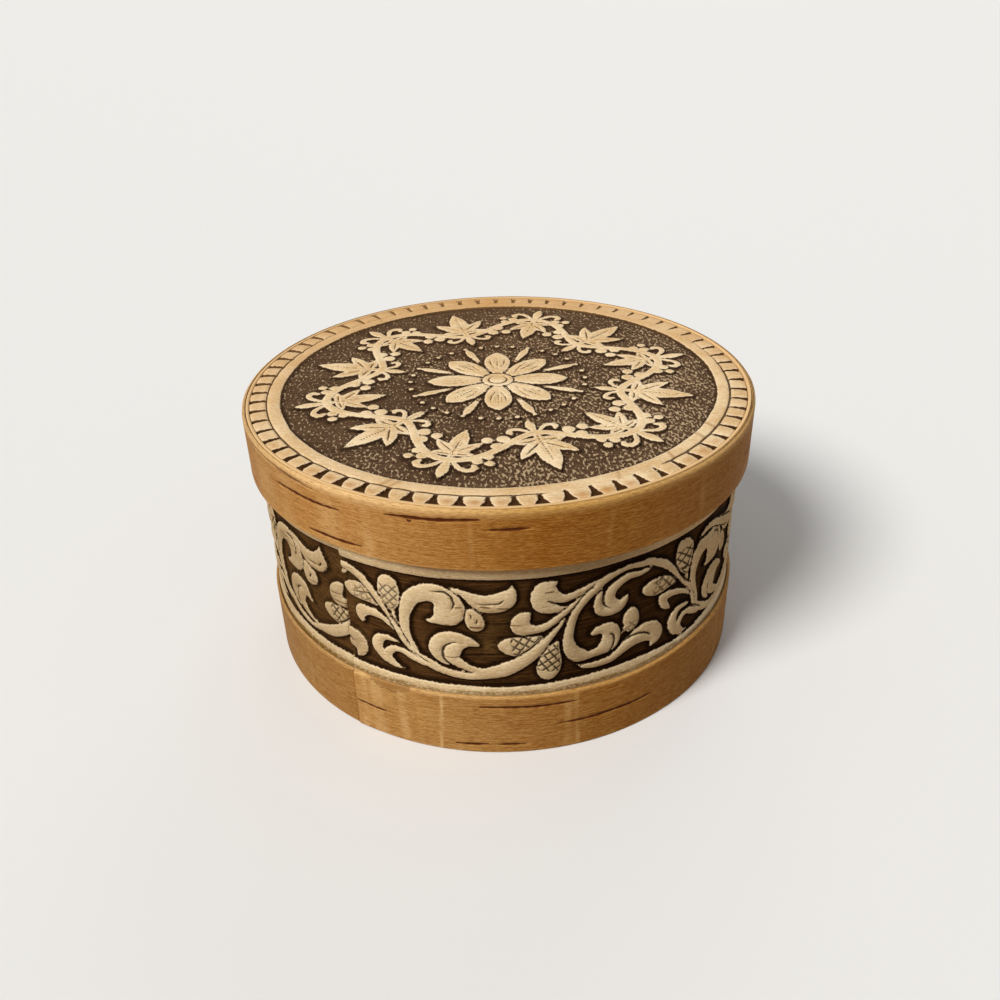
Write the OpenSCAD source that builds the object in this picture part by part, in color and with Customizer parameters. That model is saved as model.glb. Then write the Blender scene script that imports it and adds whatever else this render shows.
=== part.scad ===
// Round bark box with a lift-off lid and a wooden base.
// The origin is on the table under the middle of the box, +Z is up and the front faces -Y.
// Angles round the box are in degrees from the front, positive towards the right.

/* [Box body] */
// Inside diameter of the box
inner_d = 96.8; // [80:0.2:130]
// Height of the box's rim above the table
rim_h = 51; // [44:0.5:70]
// Thickness of the plain inner sleeve
sleeve_t = 1.4; // [1:0.1:2.5]
// Thickness of the embossed strip wrapped round the sleeve
strip_t = 1.2; // [0.9:0.1:2]
// Thickness of the plain lower band
band_t = 0.8; // [0.5:0.1:1.5]
// Height of the plain lower band
band_h = 14.2; // [8:0.2:16]
// Glue line between layers that lie round each other
glue_t = 0.1; // [0.05:0.05:0.2]
// Rounding of the cut edges of the bark
edge_r = 0.2; // [0.1:0.05:0.4]

/* [Base] */
// Thickness of the wooden base disc
base_t = 5; // [3:0.5:8]
// Thickness of the bark lining on the base
base_lining_t = 0.8; // [0.4:0.1:1.5]

/* [Lid] */
// Play between the lid's hoop and the wall, on the radius
lid_play = 0.3; // [0.2:0.05:0.6]
// How far the lid reaches down over the wall
lid_reach = 7.4; // [5:0.2:9]
// Thickness of the bark lining under the lid
lid_lining_t = 0.6; // [0.4:0.1:1.2]
// Thickness of the lid's wooden disc
lid_core_t = 3; // [2:0.5:6]
// Thickness of the embossed bark on the lid
lid_face_t = 1.2; // [0.9:0.1:2]
// Thickness of the lid's inner hoop
hoop_t = 0.7; // [0.5:0.1:1.5]
// Thickness of the lid's outer band
lid_band_t = 0.8; // [0.6:0.1:1.5]
// Rounding of the lid's top edge
lid_edge_r = 0.75; // [0.3:0.05:1]

/* [Seams] */
// Gap between the two cut ends of a wrapped strip
seam_gap = 0.15; // [0.1:0.05:0.4]
// Place of the inner sleeve's seam
sleeve_seam = 95; // [-180:1:180]
// Place of the embossed strip's seam
strip_seam = -35.5; // [-180:0.5:180]
// Place of the lower band's seam
band_seam = -34.8; // [-180:0.2:180]
// Place of the lid's inner hoop's seam
hoop_seam = -120; // [-180:1:180]
// Place of the lid's outer band's seam
lid_band_seam = 152; // [-180:1:180]

/* [Frieze on the wall] */
// Width of the plain border above the frieze, below the lid
top_border_w = 3.1; // [1:0.1:5]
// Width of the plain border below the frieze, above the lower band
low_border_w = 2.8; // [1:0.1:5]
// Depth of the frieze's ground
ground_depth = 0.45; // [0.2:0.05:0.7]

/* [Rings on the lid] */
// Number of notches round the lid
notch_count = 69; // [40:1:90]
// Length of a notch, in from the edge of the embossed bark
notch_len = 3.4; // [2:0.1:5]
// Width of a notch at its mouth
notch_mouth_w = 1.5; // [0.8:0.1:2]
// Width of a notch along its slot
notch_slot_w = 0.7; // [0.4:0.1:1]
// Share of a notch's length that its mouth takes
notch_mouth_share = 0.4; // [0.2:0.05:0.6]
// Depth of a notch
notch_depth = 0.5; // [0.2:0.05:0.7]
// Width of the engraved line at the inner ends of the notches
line_w = 0.3; // [0.2:0.05:0.6]
// Depth of the engraved line
line_depth = 0.25; // [0.1:0.05:0.5]
// Width of the plain ring between the engraved line and the field
plain_ring_w = 2.7; // [1.5:0.1:5]

/* [Ornament on the lid] */
// Depth of the field that the ornament stands in
field_depth = 0.45; // [0.2:0.05:0.7]
// Number of petals in the rosette
petal_count = 8; // [5:1:12]
// Length of a petal
petal_len = 11; // [6:0.5:12]
// Width of a petal
petal_w = 6.4; // [3:0.2:7]
// Radius of the button in the middle of the rosette
button_r = 3.4; // [2:0.1:5]
// Number of waves in the vine
vine_waves = 6; // [4:1:10]
// How far the middle of the vine lies in from the field's edge
vine_inset = 14.2; // [10:0.2:18]
// Swing of the vine to each side of its middle
vine_swing = 5; // [2:0.5:7]
// Width of the vine
vine_w = 1.5; // [0.8:0.1:3]
// Length of a leaf in a bend of the vine
leaf_len = 10; // [6:0.5:13]
// Width of a leaf
leaf_w = 6.4; // [3:0.2:8]
// Radius of a berry beside a leaf
berry_r = 1.3; // [0.8:0.1:2]
// Distance of a berry from the middle of its leaf
berry_out = 6; // [4:0.2:9]

/* [Hidden] */
$fn = 96;

// Cuts pass this far through what they cut
over = 1;

// Layers of the wall, from the inside out
inner_r = inner_d / 2;
strip_in_r = inner_r + sleeve_t + glue_t;
wall_r = strip_in_r + strip_t;
band_in_r = wall_r + glue_t;

// Layers round the lid, from the wall out
hoop_in_r = wall_r + lid_play;
lid_band_in_r = hoop_in_r + hoop_t + glue_t;
base_r = inner_r - glue_t;
lid_disc_r = hoop_in_r - glue_t;

// Layers of the lid, from the rim up
core_z = rim_h + lid_lining_t;
face_z = core_z + lid_core_t;
lid_top_z = face_z + lid_face_t;
lid_low_z = rim_h - lid_reach;
lid_h = lid_top_z - lid_low_z;

// The ground between the two plain borders of the wall
ground_z0 = band_h + low_border_w;
ground_z1 = lid_low_z - top_border_w;

// Rings on the lid, from the edge in
line_r = lid_disc_r - notch_len;
field_r = line_r - plain_ring_w;
vine_r = field_r - vine_inset;

bark_tan = [0.74, 0.54, 0.30];
bark_cream = [0.78, 0.68, 0.49];
bark_lining = [0.68, 0.47, 0.27];
pale_wood = [0.80, 0.68, 0.50];

// What is cut away to round one corner of a profile
module corner_waste(r) {
    difference() {
        square(r + over);
        circle(r);
    }
}

// The cut section of a strip, standing on +X, with its two outer edges rounded
module strip_section(t, h, top_r = edge_r) {
    difference() {
        square([t, h]);
        translate([t - top_r, h - top_r])
            corner_waste(top_r);
        translate([t - edge_r, edge_r])
            mirror([0, 1])
                corner_waste(edge_r);
    }
}

// A strip wrapped round into a hoop, whose two cut ends meet at a seam
module wrapped_strip(r_in, t, z, place) {
    gap_a = seam_gap / (r_in + t / 2) * 180 / PI;
    rotate(place - 90 + gap_a / 2)
        rotate_extrude(angle = 360 - gap_a)
            translate([r_in, z])
                children();
}

// A flat ring cut into the face below it
module ring_cut(r_in, r_out, depth) {
    difference() {
        cylinder(r = r_out, h = depth + over);
        translate([0, 0, -over])
            cylinder(r = r_in, h = depth + 3 * over);
    }
}

// One notch: a slot that widens into a mouth at the edge of the disc
module notch() {
    mouth_r = lid_disc_r - notch_len * notch_mouth_share;
    slot = notch_slot_w / 2;
    mouth = notch_mouth_w / 2;
    linear_extrude(notch_depth + over)
        polygon([
            [line_r, -slot], [mouth_r, -slot], [lid_disc_r, -mouth], [lid_disc_r + over, -mouth],
            [lid_disc_r + over, mouth], [lid_disc_r, mouth], [mouth_r, slot], [line_r, slot]
        ]);
}

// A pointed leaf along +X, where two equal round arcs cross
module leaf_shape(length, width) {
    arc_r = (length * length + width * width) / (4 * width);
    intersection() {
        translate([0, arc_r - width / 2])
            circle(arc_r);
        translate([0, width / 2 - arc_r])
            circle(arc_r);
    }
}

function vine_edge(side) = [
    for (a = [0 : 2 : 358])
        let (r = vine_r + vine_swing * sin(vine_waves * a) + side * vine_w / 2)
            [r * cos(a), r * sin(a)]
];

module rosette() {
    circle(button_r);
    for (i = [0 : petal_count - 1])
        rotate(i * 360 / petal_count)
            translate([button_r + petal_len / 2, 0])
                leaf_shape(petal_len, petal_w);
}

module vine() {
    difference() {
        polygon(vine_edge(1));
        polygon(vine_edge(-1));
    }
}

// Each bend of the vine holds a leaf on its hollow side, with a berry to each side of the leaf
module vine_leaves() {
    for (i = [0 : 2 * vine_waves - 1]) {
        side = i % 2 == 0 ? 1 : -1;
        rotate((90 + 180 * i) / vine_waves)
            translate([vine_r + side * (vine_swing - leaf_len / 2), 0]) {
                leaf_shape(leaf_len, leaf_w);
                for (turn = [-1, 1])
                    translate([-side * leaf_len / 2, turn * berry_out])
                        circle(berry_r);
            }
    }
}

module base_disc() {
    color(pale_wood)
        cylinder(r = base_r, h = base_t);
}

module base_lining() {
    color(bark_lining)
        translate([0, 0, base_t])
            cylinder(r = base_r, h = base_lining_t);
}

module inner_sleeve() {
    color(bark_lining)
        wrapped_strip(inner_r, sleeve_t, 0, sleeve_seam)
            strip_section(sleeve_t, rim_h);
}

module embossed_wall() {
    color(bark_cream)
        wrapped_strip(strip_in_r, strip_t, 0, strip_seam)
            difference() {
                strip_section(strip_t, rim_h);
                translate([strip_t - ground_depth, ground_z0])
                    square([ground_depth + over, ground_z1 - ground_z0]);
            }
}

module lower_band() {
    color(bark_tan)
        wrapped_strip(band_in_r, band_t, 0, band_seam)
            strip_section(band_t, band_h);
}

module lid_lining() {
    color(bark_lining)
        translate([0, 0, rim_h])
            cylinder(r = lid_disc_r, h = lid_lining_t);
}

module lid_core() {
    color(pale_wood)
        translate([0, 0, core_z])
            cylinder(r = lid_disc_r, h = lid_core_t);
}

module lid_face() {
    field_z = lid_face_t - field_depth;
    color(bark_cream)
        translate([0, 0, face_z]) {
            difference() {
                cylinder(r = lid_disc_r, h = lid_face_t);
                translate([0, 0, field_z])
                    cylinder(r = field_r, h = field_depth + over);
                translate([0, 0, lid_face_t - line_depth])
                    ring_cut(line_r - line_w / 2, line_r + line_w / 2, line_depth);
                for (i = [0 : notch_count - 1])
                    rotate(i * 360 / notch_count)
                        translate([0, 0, lid_face_t - notch_depth])
                            notch();
            }
            translate([0, 0, field_z])
                linear_extrude(field_depth) {
                    rosette();
                    vine();
                    vine_leaves();
                }
        }
}

module lid_inner_hoop() {
    color(bark_lining)
        wrapped_strip(hoop_in_r, hoop_t, lid_low_z, hoop_seam)
            strip_section(hoop_t, lid_h);
}

module lid_band() {
    color(bark_tan)
        wrapped_strip(lid_band_in_r, lid_band_t, lid_low_z, lid_band_seam)
            strip_section(lid_band_t, lid_h, min(lid_edge_r, lid_band_t));
}

base_disc();
base_lining();
inner_sleeve();
embossed_wall();
lower_band();
lid_lining();
lid_core();
lid_face();
lid_inner_hoop();
lid_band();
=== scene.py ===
import bpy
import math
import numpy as np
from mathutils import Matrix, Vector


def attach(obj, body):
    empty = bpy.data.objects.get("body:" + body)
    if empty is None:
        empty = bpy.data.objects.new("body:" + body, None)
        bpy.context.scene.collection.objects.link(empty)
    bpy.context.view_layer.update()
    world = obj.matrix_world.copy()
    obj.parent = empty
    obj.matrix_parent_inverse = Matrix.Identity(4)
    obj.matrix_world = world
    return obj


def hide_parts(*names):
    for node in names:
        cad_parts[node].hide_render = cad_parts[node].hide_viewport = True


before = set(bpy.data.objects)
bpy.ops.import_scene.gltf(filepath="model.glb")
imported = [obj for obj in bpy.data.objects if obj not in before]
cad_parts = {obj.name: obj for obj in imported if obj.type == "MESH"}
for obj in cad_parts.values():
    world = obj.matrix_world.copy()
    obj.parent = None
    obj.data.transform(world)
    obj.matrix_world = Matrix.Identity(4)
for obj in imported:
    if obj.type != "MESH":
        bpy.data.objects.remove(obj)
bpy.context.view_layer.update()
mm = 0.001  # all shapes below are worked out in millimetres


def ringOf(node):
    # inner and outer radius, foot and top of a CAD hoop or disc, read off its corners
    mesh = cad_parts[node].data
    co = np.empty(len(mesh.vertices) * 3, np.float32)
    mesh.vertices.foreach_get("co", co)
    co = co.reshape(-1, 3).astype(float) / mm
    r = np.hypot(co[:, 0], co[:, 1])
    return {"rIn": r.min(), "rOut": r.max(), "low": co[:, 2].min(), "high": co[:, 2].max()}


rings = {node: ringOf(node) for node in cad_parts}
print("frame loaded,", len(rings), "nodes")


# Shapes in the flat: smooth steps, wobble, tapered strokes

outside = -9.0  # depth of a point far from every raised form
grooveReach = 0.55  # how far beside a groove its offset is kept


def ease(low, high, x):
    # 0 below low, 1 above high, and 3t^2 - 2t^3 between them
    t = np.clip((x - low) / (high - low), 0, 1)
    return t * t * (3 - 2 * t)


def wobble(turn, form):
    # slow unevenness round the box, of a form (height, seed, waves): cosines with whole numbers of
    # waves, each weaker than the last
    height, seed, waves = form
    draw = np.random.default_rng(seed)
    counts = np.arange(1, waves + 1)
    phase = draw.uniform(0, 2 * math.pi, waves)
    size = draw.uniform(0.4, 1.0, waves) / np.sqrt(counts)
    total = (size * np.cos(np.multiply.outer(turn, counts) + phase)).sum(-1)
    return height * (total / np.sqrt((size ** 2).sum()))


def fromTable(table, x, period=None):
    # straight between the (place, value) pairs of a table
    return np.interp(x, *zip(*table), period=period)


def apart(run, place, length):
    # how far along a closed strip from a place on it, the shorter way round
    return (run - place + length / 2) % length - length / 2


def frontAngle(turn):
    # degrees from the front, between -180 and 180
    return (np.degrees(turn) + 180) % 360 - 180


def smoothPath(points, perSpan=9):
    # Catmull-Rom curve: each span is a cubic through its two ends, sloped by their neighbours
    p = np.asarray(points, float)
    p = np.vstack([2 * p[0] - p[1], p, 2 * p[-1] - p[-2]])
    t = np.linspace(0, 1, perSpan, endpoint=False)[:, None]
    a, b, c, d = p[:-3, None], p[1:-2, None], p[2:-1, None], p[3:, None]
    curve = b + t / 2 * (c - a + t * (2 * a - 5 * b + 4 * c - d + t * (3 * (b - c) + d - a)))
    return np.vstack([curve.reshape(-1, p.shape[1]), p[-2]])


def nearPath(x, y, path, reach):
    near = (x > path[:, 0].min() - reach) & (x < path[:, 0].max() + reach)
    return near & (y > path[:, 1].min() - reach) & (y < path[:, 1].max() + reach)


def strokeDepth(x, y, points):
    # how far inside a tapered stroke a point lies: the most of (half width - distance) over discs
    # set close together along the smooth path through the points (x, y, half width)
    path = smoothPath(points)
    near = nearPath(x, y, path, path[:, 2].max() + 3)
    px, py = x[near], y[near]
    best = np.full(px.shape, outside)
    for cx, cy, half in path:
        np.maximum(best, half - np.hypot(px - cx, py - cy), out=best)
    depth = np.full(x.shape, outside)
    depth[near] = best
    return depth


def blankCarving(shape):
    # depth inside the raised forms, offset from the middle of the nearest groove, half that groove's width
    return {"depth": np.full(shape, outside), "off": np.ones(shape), "half": np.full(shape, -1.0)}


def addGroove(carving, near, off, half):
    # keeps whichever groove a point lies deeper in, and neither half way between two that face each other
    alike, clear = 0.35, 0.03
    oldOff, oldHalf = carving["off"][near], carving["half"][near]
    new, old = np.abs(off) - half, np.abs(oldOff) - oldHalf
    between = (off * oldOff < 0) & (np.abs(new - old) < alike) & (np.minimum(new, old) > clear)
    carving["off"][near] = np.where(new < old, off, oldOff)
    carving["half"][near] = np.where(between, -1, np.where(new < old, half, oldHalf))


def layOver(carving, stroke, gap):
    # a stroke laid over what is there: it covers the grooves below it, and a gap is cut beside it
    shore, tuck = -0.5, 0.1  # the gap ends where nothing is raised, and thins out towards there
    carving["half"] = np.minimum(carving["half"], -stroke - gap)
    if gap > 0:
        near = (np.abs(stroke + gap / 2) < grooveReach) & (carving["depth"] > shore)
        half = np.minimum(gap / 2, carving["depth"][near] + tuck)
        addGroove(carving, near, stroke[near] + gap / 2, half)
    carving["depth"] = np.maximum(carving["depth"], stroke)


def engrave(carving, x, y, lines):
    # lines (half width, points) cut into the raised forms, thinner towards their ends
    taper = 0.7
    for half, line in lines:
        path = smoothPath(line)
        near = nearPath(x, y, path, grooveReach)
        dx, dy = x[near][:, None] - path[:, 0], y[near][:, None] - path[:, 1]
        k = np.hypot(dx, dy).argmin(1)
        pick = np.arange(len(k))
        dx, dy = dx[pick, k], dy[pick, k]
        tangent = np.gradient(path[:, :2], axis=0)
        tangent = (tangent / np.hypot(*tangent.T)[:, None])[k]
        across = tangent[:, 0] * dy - tangent[:, 1] * dx
        past = np.hypot(dx, dy) - np.abs(across)
        share = k / (len(path) - 1)
        addGroove(carving, near, across, half * (1 - taper * (2 * share - 1) ** 4) - past)


def cutOf(carving, soft=0.12):
    # 1 in the middle of a groove, 0 outside it
    return ease(soft, -soft, np.abs(carving["off"]) - carving["half"])


def settle(x, y, shape, reach):
    # grid points near the middle of a groove, or near the rim or the foot of a raised edge, move onto
    # it along the slope, where that brings them close to it
    h, leastSlope, close = 0.02, 0.3, 0.4 * reach
    here, beside, above = shape(x, y), shape(x + h, y), shape(x, y + h)
    inGroove = (here["half"] > 0) & (np.abs(here["off"]) < reach) & (here["depth"] > reach)
    atRim = np.abs(here["depth"]) < reach
    atFoot = np.abs(here["depth"] + 2 * reach) <= reach

    def pick(carving):
        return np.where(inGroove, carving["off"], carving["depth"])

    goal = np.where(inGroove | atRim, 0, -2 * reach)
    gx, gy = (pick(beside) - pick(here)) / h, (pick(above) - pick(here)) / h
    slope = np.clip(gx * gx + gy * gy, leastSlope, None)
    move = (goal - pick(here)) * (inGroove | atRim | atFoot) / slope
    newX, newY = x + move * gx, y + move * gy
    good = np.abs(pick(shape(newX, newY)) - goal) < close
    return np.where(good, newX, x), np.where(good, newY, y)


def dashMarks(run, z, dashes, length):
    # lenticels (middle, height, length, half width, tilt): the offset from the nearest one's line, and
    # half its width there. The line waves a little, and the width swells along it and ends bluntly
    off, width = np.ones(run.shape), np.full(run.shape, -1.0)
    for middle, height, size, half, tilt in dashes:
        a = apart(run, middle, length)
        share = 1 - (2 * a / size) ** 2
        across = z - height - tilt * a / size - 0.05 * np.sin(a * 0.55 + middle)
        swell = 0.8 + 0.2 * np.sin(a * 2.1 + middle) * np.sin(a * 0.9)
        there = half * np.sign(share) * np.abs(share) ** 0.4 * swell
        nearer = np.abs(across) - there < np.abs(off) - width
        near = (np.abs(across) < 0.9) & (share > -0.15) & nearer
        off, width = np.where(near, across, off), np.where(near, there, width)
    return off, width


# Meshes from whole arrays

def layMesh(name, points, faceSets, cornerUv, marks):
    # points in millimetres, faces by their corners, the map by corner, and a named value by point
    mesh = bpy.data.meshes.new(name)
    corners = np.concatenate([f.ravel() for f in faceSets])
    sizes = np.concatenate([np.full(len(f), f.shape[1]) for f in faceSets])
    starts = np.concatenate([[0], np.cumsum(sizes)[:-1]])
    mesh.vertices.add(len(points))
    mesh.vertices.foreach_set("co", (points * mm).astype(np.float32).ravel())
    mesh.loops.add(len(corners))
    mesh.loops.foreach_set("vertex_index", corners.astype(np.int32))
    mesh.polygons.add(len(sizes))
    mesh.polygons.foreach_set("loop_start", starts.astype(np.int32))
    mesh.polygons.foreach_set("use_smooth", np.ones(len(sizes), bool))
    mesh.uv_layers.new(name="bark").data.foreach_set("uv", cornerUv.astype(np.float32).ravel())
    for mark, values in marks.items():
        layer = mesh.attributes.new(mark, "FLOAT", "POINT")
        layer.data.foreach_set("value", np.asarray(values, np.float32).ravel())
    mesh.update(calc_edges=True)
    mesh.validate()
    piece = bpy.data.objects.new(name, mesh)
    bpy.context.scene.collection.objects.link(piece)
    return piece


def splitQuads(quads, cornerUv, height):
    # each four-sided face is cut in two along the diagonal whose ends are more level, or else lower
    lowShare = 0.2
    h = height.ravel()[quads]
    level = np.abs(h[:, :2] - h[:, 2:]) + lowShare * (h[:, :2] + h[:, 2:])
    order = np.where(level[:, :1] <= level[:, 1:], [0, 1, 2, 0, 2, 3], [0, 1, 3, 1, 2, 3])
    rows = np.arange(len(quads))[:, None]
    return quads[rows, order].reshape(-1, 3), cornerUv.reshape(-1, 4, 2)[rows, order].reshape(-1, 2)


def hoopMesh(name, points, uv, marks):
    # a sheet of points closed both ways: round the box, and round the strip's cut section
    along, across = uv
    turns, rows = points.shape[:2]
    i, j = np.meshgrid(np.arange(turns), np.arange(rows), indexing="ij")

    def corner(di, dj):
        return (i + di) % turns * rows + (j + dj) % rows

    def place(di, dj):
        return np.stack([along[i + di], across[j + dj]], -1)

    steps = ((0, 0), (1, 0), (1, 1), (0, 1))
    quads = np.stack([corner(*s) for s in steps], -1).reshape(-1, 4)
    cornerUv = np.stack([place(*s) for s in steps], -2).reshape(-1, 2)
    faces, cornerUv = splitQuads(quads, cornerUv, np.hypot(points[..., 0], points[..., 1]))
    return layMesh(name, points.reshape(-1, 3), [faces], cornerUv, marks)


def stripColumns(length, count, edge=0.1):
    # places along a strip, from its seam: even, with one close column at each cut end
    return np.concatenate([[0, edge], np.linspace(3 * edge, length - 3 * edge, count), [length - edge]])


def stripSection(ring, rows, topRound, lowRound):
    # points round a strip's cut section: up its outer face, over the top edge and down the inside,
    # with the share of the outer face's relief that each takes
    chamfer, edgeShare = 0.1, 0.7
    a = np.radians([0, 30, 60, 90])
    foot = [ring["rOut"] - lowRound * (1 - np.sin(a)), ring["low"] + lowRound * (1 - np.cos(a))]
    face = [np.full(len(rows), ring["rOut"]), rows]
    top = [ring["rOut"] - topRound * (1 - np.cos(a)), ring["high"] - topRound * (1 - np.sin(a))]
    z = ring["low"] + (ring["high"] - ring["low"]) * np.array([1, 0.985, 0.7, 0.35, 0.015, 0])
    inside = [ring["rIn"] + chamfer * np.array([1, 0, 0, 0, 0, 1]), z]
    r, z = np.concatenate([foot, face, top, inside], 1)
    outer = np.zeros(len(r))
    outer[len(a) - 1:len(a) + len(rows) + 1] = 1
    outer[len(a) - 2] = outer[len(a) + len(rows) + 1] = edgeShare
    return r, z, outer


def roundLength(r, z):
    # distance run round the section, closed, for the map
    step = np.hypot(np.diff(np.append(r, r[0])), np.diff(np.append(z, z[0])))
    return np.concatenate([[0], np.cumsum(step)])


def stripGrid(ring, look, rows):
    # a strip in the flat: its length, the run from the seam and the height of each point, and by row
    # the plain section's radius and the share of relief, with the map along and across
    length = 2 * math.pi * ring["rOut"]
    along = stripColumns(length, look["columns"])
    r0, z0, outer = stripSection(ring, rows, look["topRound"], look["lowRound"])
    run, z = np.meshgrid(along, z0, indexing="ij")
    return length, run, z, r0, outer, (np.append(along, length), roundLength(r0, z0))


def turnOf(run, ring, look):
    # angle round the box of a place on a strip
    return math.radians(look["seam"]) + run / ring["rOut"]


def onRing(r, turn, z):
    # turn is the angle from the front, positive to the right, seen from above
    return np.stack([r * np.sin(turn), -r * np.cos(turn), z], -1)


# Node helpers

def plug(tree, socket, value):
    # a socket is linked, and any other value is set
    if isinstance(value, bpy.types.NodeSocket):
        tree.links.new(value, socket)
    else:
        socket.default_value = value


def addNode(tree, kind, links=None, **settings):
    made = tree.nodes.new(kind)
    for key, value in settings.items():
        setattr(made, key, value)
    for key, value in (links or {}).items():
        plug(tree, made.inputs[key], value)
    return made


def colour(red, green, blue):
    # a screen colour from 0 to 255 as the linear colour that Blender takes
    c = np.array([red, green, blue]) / 255
    return (*np.where(c <= 0.04045, c / 12.92, ((c + 0.055) / 1.055) ** 2.4), 1.0)


def markOf(tree, name):
    return addNode(tree, "ShaderNodeAttribute", attribute_name=name).outputs["Fac"]


def barkPlace(tree):
    # millimetres along and across a strip, or from the middle of a disc
    return addNode(tree, "ShaderNodeUVMap", uv_map="bark").outputs["UV"]


def scaled(tree, vector, size, lean=0.0):
    links = {"Vector": vector, "Scale": size, "Rotation": (0, 0, math.radians(lean))}
    return addNode(tree, "ShaderNodeMapping", links).outputs["Vector"]


def noise(tree, vector, detail=3.0, rough=0.55):
    links = {"Vector": vector, "Scale": 1.0, "Detail": detail, "Roughness": rough}
    return addNode(tree, "ShaderNodeTexNoise", links).outputs["Fac"]


def grainsOf(tree, grains):
    # each grain is (changes along, changes across, detail, roughness)
    place = barkPlace(tree)
    return {key: noise(tree, scaled(tree, place, (along, across, 1)), detail, rough)
            for key, (along, across, detail, rough) in grains.items()}


def spread(tree, value, low, high, toLow=0.0, toHigh=1.0):
    links = {"Value": value, "From Min": low, "From Max": high, "To Min": toLow, "To Max": toHigh}
    return addNode(tree, "ShaderNodeMapRange", links, interpolation_type="SMOOTHSTEP").outputs["Result"]


def maths(tree, kind, a, b=0.0):
    return addNode(tree, "ShaderNodeMath", {0: a, 1: b}, operation=kind).outputs[0]


def times(tree, a, b):
    return maths(tree, "MULTIPLY", a, b)


def blend(tree, share, a, b, how="MIX"):
    made = addNode(tree, "ShaderNodeMix", data_type="RGBA", blend_type=how)
    for key, value in (("Factor_Float", share), ("A_Color", a), ("B_Color", b)):
        plug(tree, next(s for s in made.inputs if s.identifier == key), value)
    return next(s for s in made.outputs if s.identifier == "Result_Color")


def tinted(tree, tone, values, look, tints):
    # each tint (value, low, high, share, shade) lays its shade over the tone where the value passes
    # from low to high, by the share
    for key, low, high, share, shade in tints:
        tone = blend(tree, times(tree, spread(tree, values[key], low, high), share), tone, look[shade])
    return tone


def marked(tree, tone, mark, shade, how="MIX"):
    # lays a shade over the tone by a mark of the mesh
    return blend(tree, markOf(tree, mark), tone, shade, how)


def engraved(tree, line, soft):
    # 1 inside an engraved line, from the marks of the offset to its side and its half width
    off, half = markOf(tree, line + "Off"), markOf(tree, line + "Half")
    return spread(tree, maths(tree, "SUBTRACT", maths(tree, "ABSOLUTE", off), half), soft, -soft)


def newFinish(name, gloss=0.1):
    made = bpy.data.materials.new(name)
    made.use_nodes = True
    tree = made.node_tree
    tree.nodes.clear()
    shader = addNode(tree, "ShaderNodeBsdfPrincipled", {"Specular IOR Level": gloss})
    addNode(tree, "ShaderNodeOutputMaterial", {"Surface": shader.outputs["BSDF"]})
    return made, tree, shader


def joinUp(tree, shader, tone, rough, heights, bump):
    # colour, roughness and bump (strength, distance), which adds up heights (value, share)
    total = None
    for value, share in heights:
        part = times(tree, value, share)
        total = maths(tree, "ADD", total, part) if total else part
    strength, distance = bump
    links = {"Height": total, "Strength": strength, "Distance": distance}
    normal = addNode(tree, "ShaderNodeBump", links).outputs["Normal"]
    for key, value in (("Base Color", tone), ("Roughness", rough), ("Normal", normal)):
        plug(tree, shader.inputs[key], value)


# Finishes: a span is (from, to) or (from, to, result from, result to) of a smooth step

plainLook = {
    # painted shade: the deep brown on the next line, and the pale yellow and the grey further down that
    # multiply, darken the bands by angle round the box
    "gloss": 0.05, "paintedShadeBrown": colour(162, 101, 32), "brown": colour(132, 82, 34),
    "scratched": colour(112, 66, 28),
    "scuff": colour(238, 200, 142), "paintedShade": colour(235, 222, 182), "flake": colour(160, 115, 62),
    "dash": colour(84, 40, 16), "grime": colour(70, 44, 20), "paintedGreyShade": colour(205, 201, 195),
    "grains": {
        "fibre": (0.16, 3.2, 5.0, 0.6), "broad": (0.05, 0.7, 3.0, 0.5), "grain": (0.8, 4.4, 3.0, 0.65),
        "pores": (3.0, 4.2, 2.0, 0.6), "cloud": (0.06, 0.09, 3.0, 0.55), "streak": (0.5, 0.05, 3.0, 0.6),
        "scratch": (0.5, 7.0, 2.0, 0.5), "thread": (0.22, 6.5, 3.0, 0.6)},
    "broadTints": [("broad", 0.42, 0.7, 0.45, "light"), ("streak", 0.52, 0.72, 0.28, "light")],
    "fineTints": [
        ("fibre", 0.46, 0.7, 0.65, "light"), ("fibre", 0.5, 0.3, 0.75, "dark"),
        ("thread", 0.48, 0.66, 0.65, "light"), ("thread", 0.5, 0.32, 0.6, "brown"),
        ("grain", 0.5, 0.66, 0.6, "light"), ("grain", 0.5, 0.34, 0.5, "brown"),
        ("pores", 0.54, 0.7, 0.42, "brown"), ("scratch", 0.64, 0.72, 0.35, "scratched"),
        ("scratch", 0.36, 0.28, 0.35, "light")],
    "cloudSpan": (0.33, 0.67), "scuffSpan": (0.36, 0.6, 0.4, 0.85), "roughSpan": (0.3, 0.75, 0.62, 0.52),
    "dashSoft": 0.12, "relief": [("fibre", 0.5), ("grain", 0.4), ("pores", 0.35), ("scratch", 0.2)],
    "bump": (0.35, 0.0004),
}
lidBandTones = {"dark": colour(180, 125, 64), "mid": colour(194, 142, 78), "light": colour(212, 164, 99)}
lowerBandTones = {"dark": colour(177, 127, 68), "mid": colour(193, 146, 83), "light": colour(212, 169, 107)}


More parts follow.
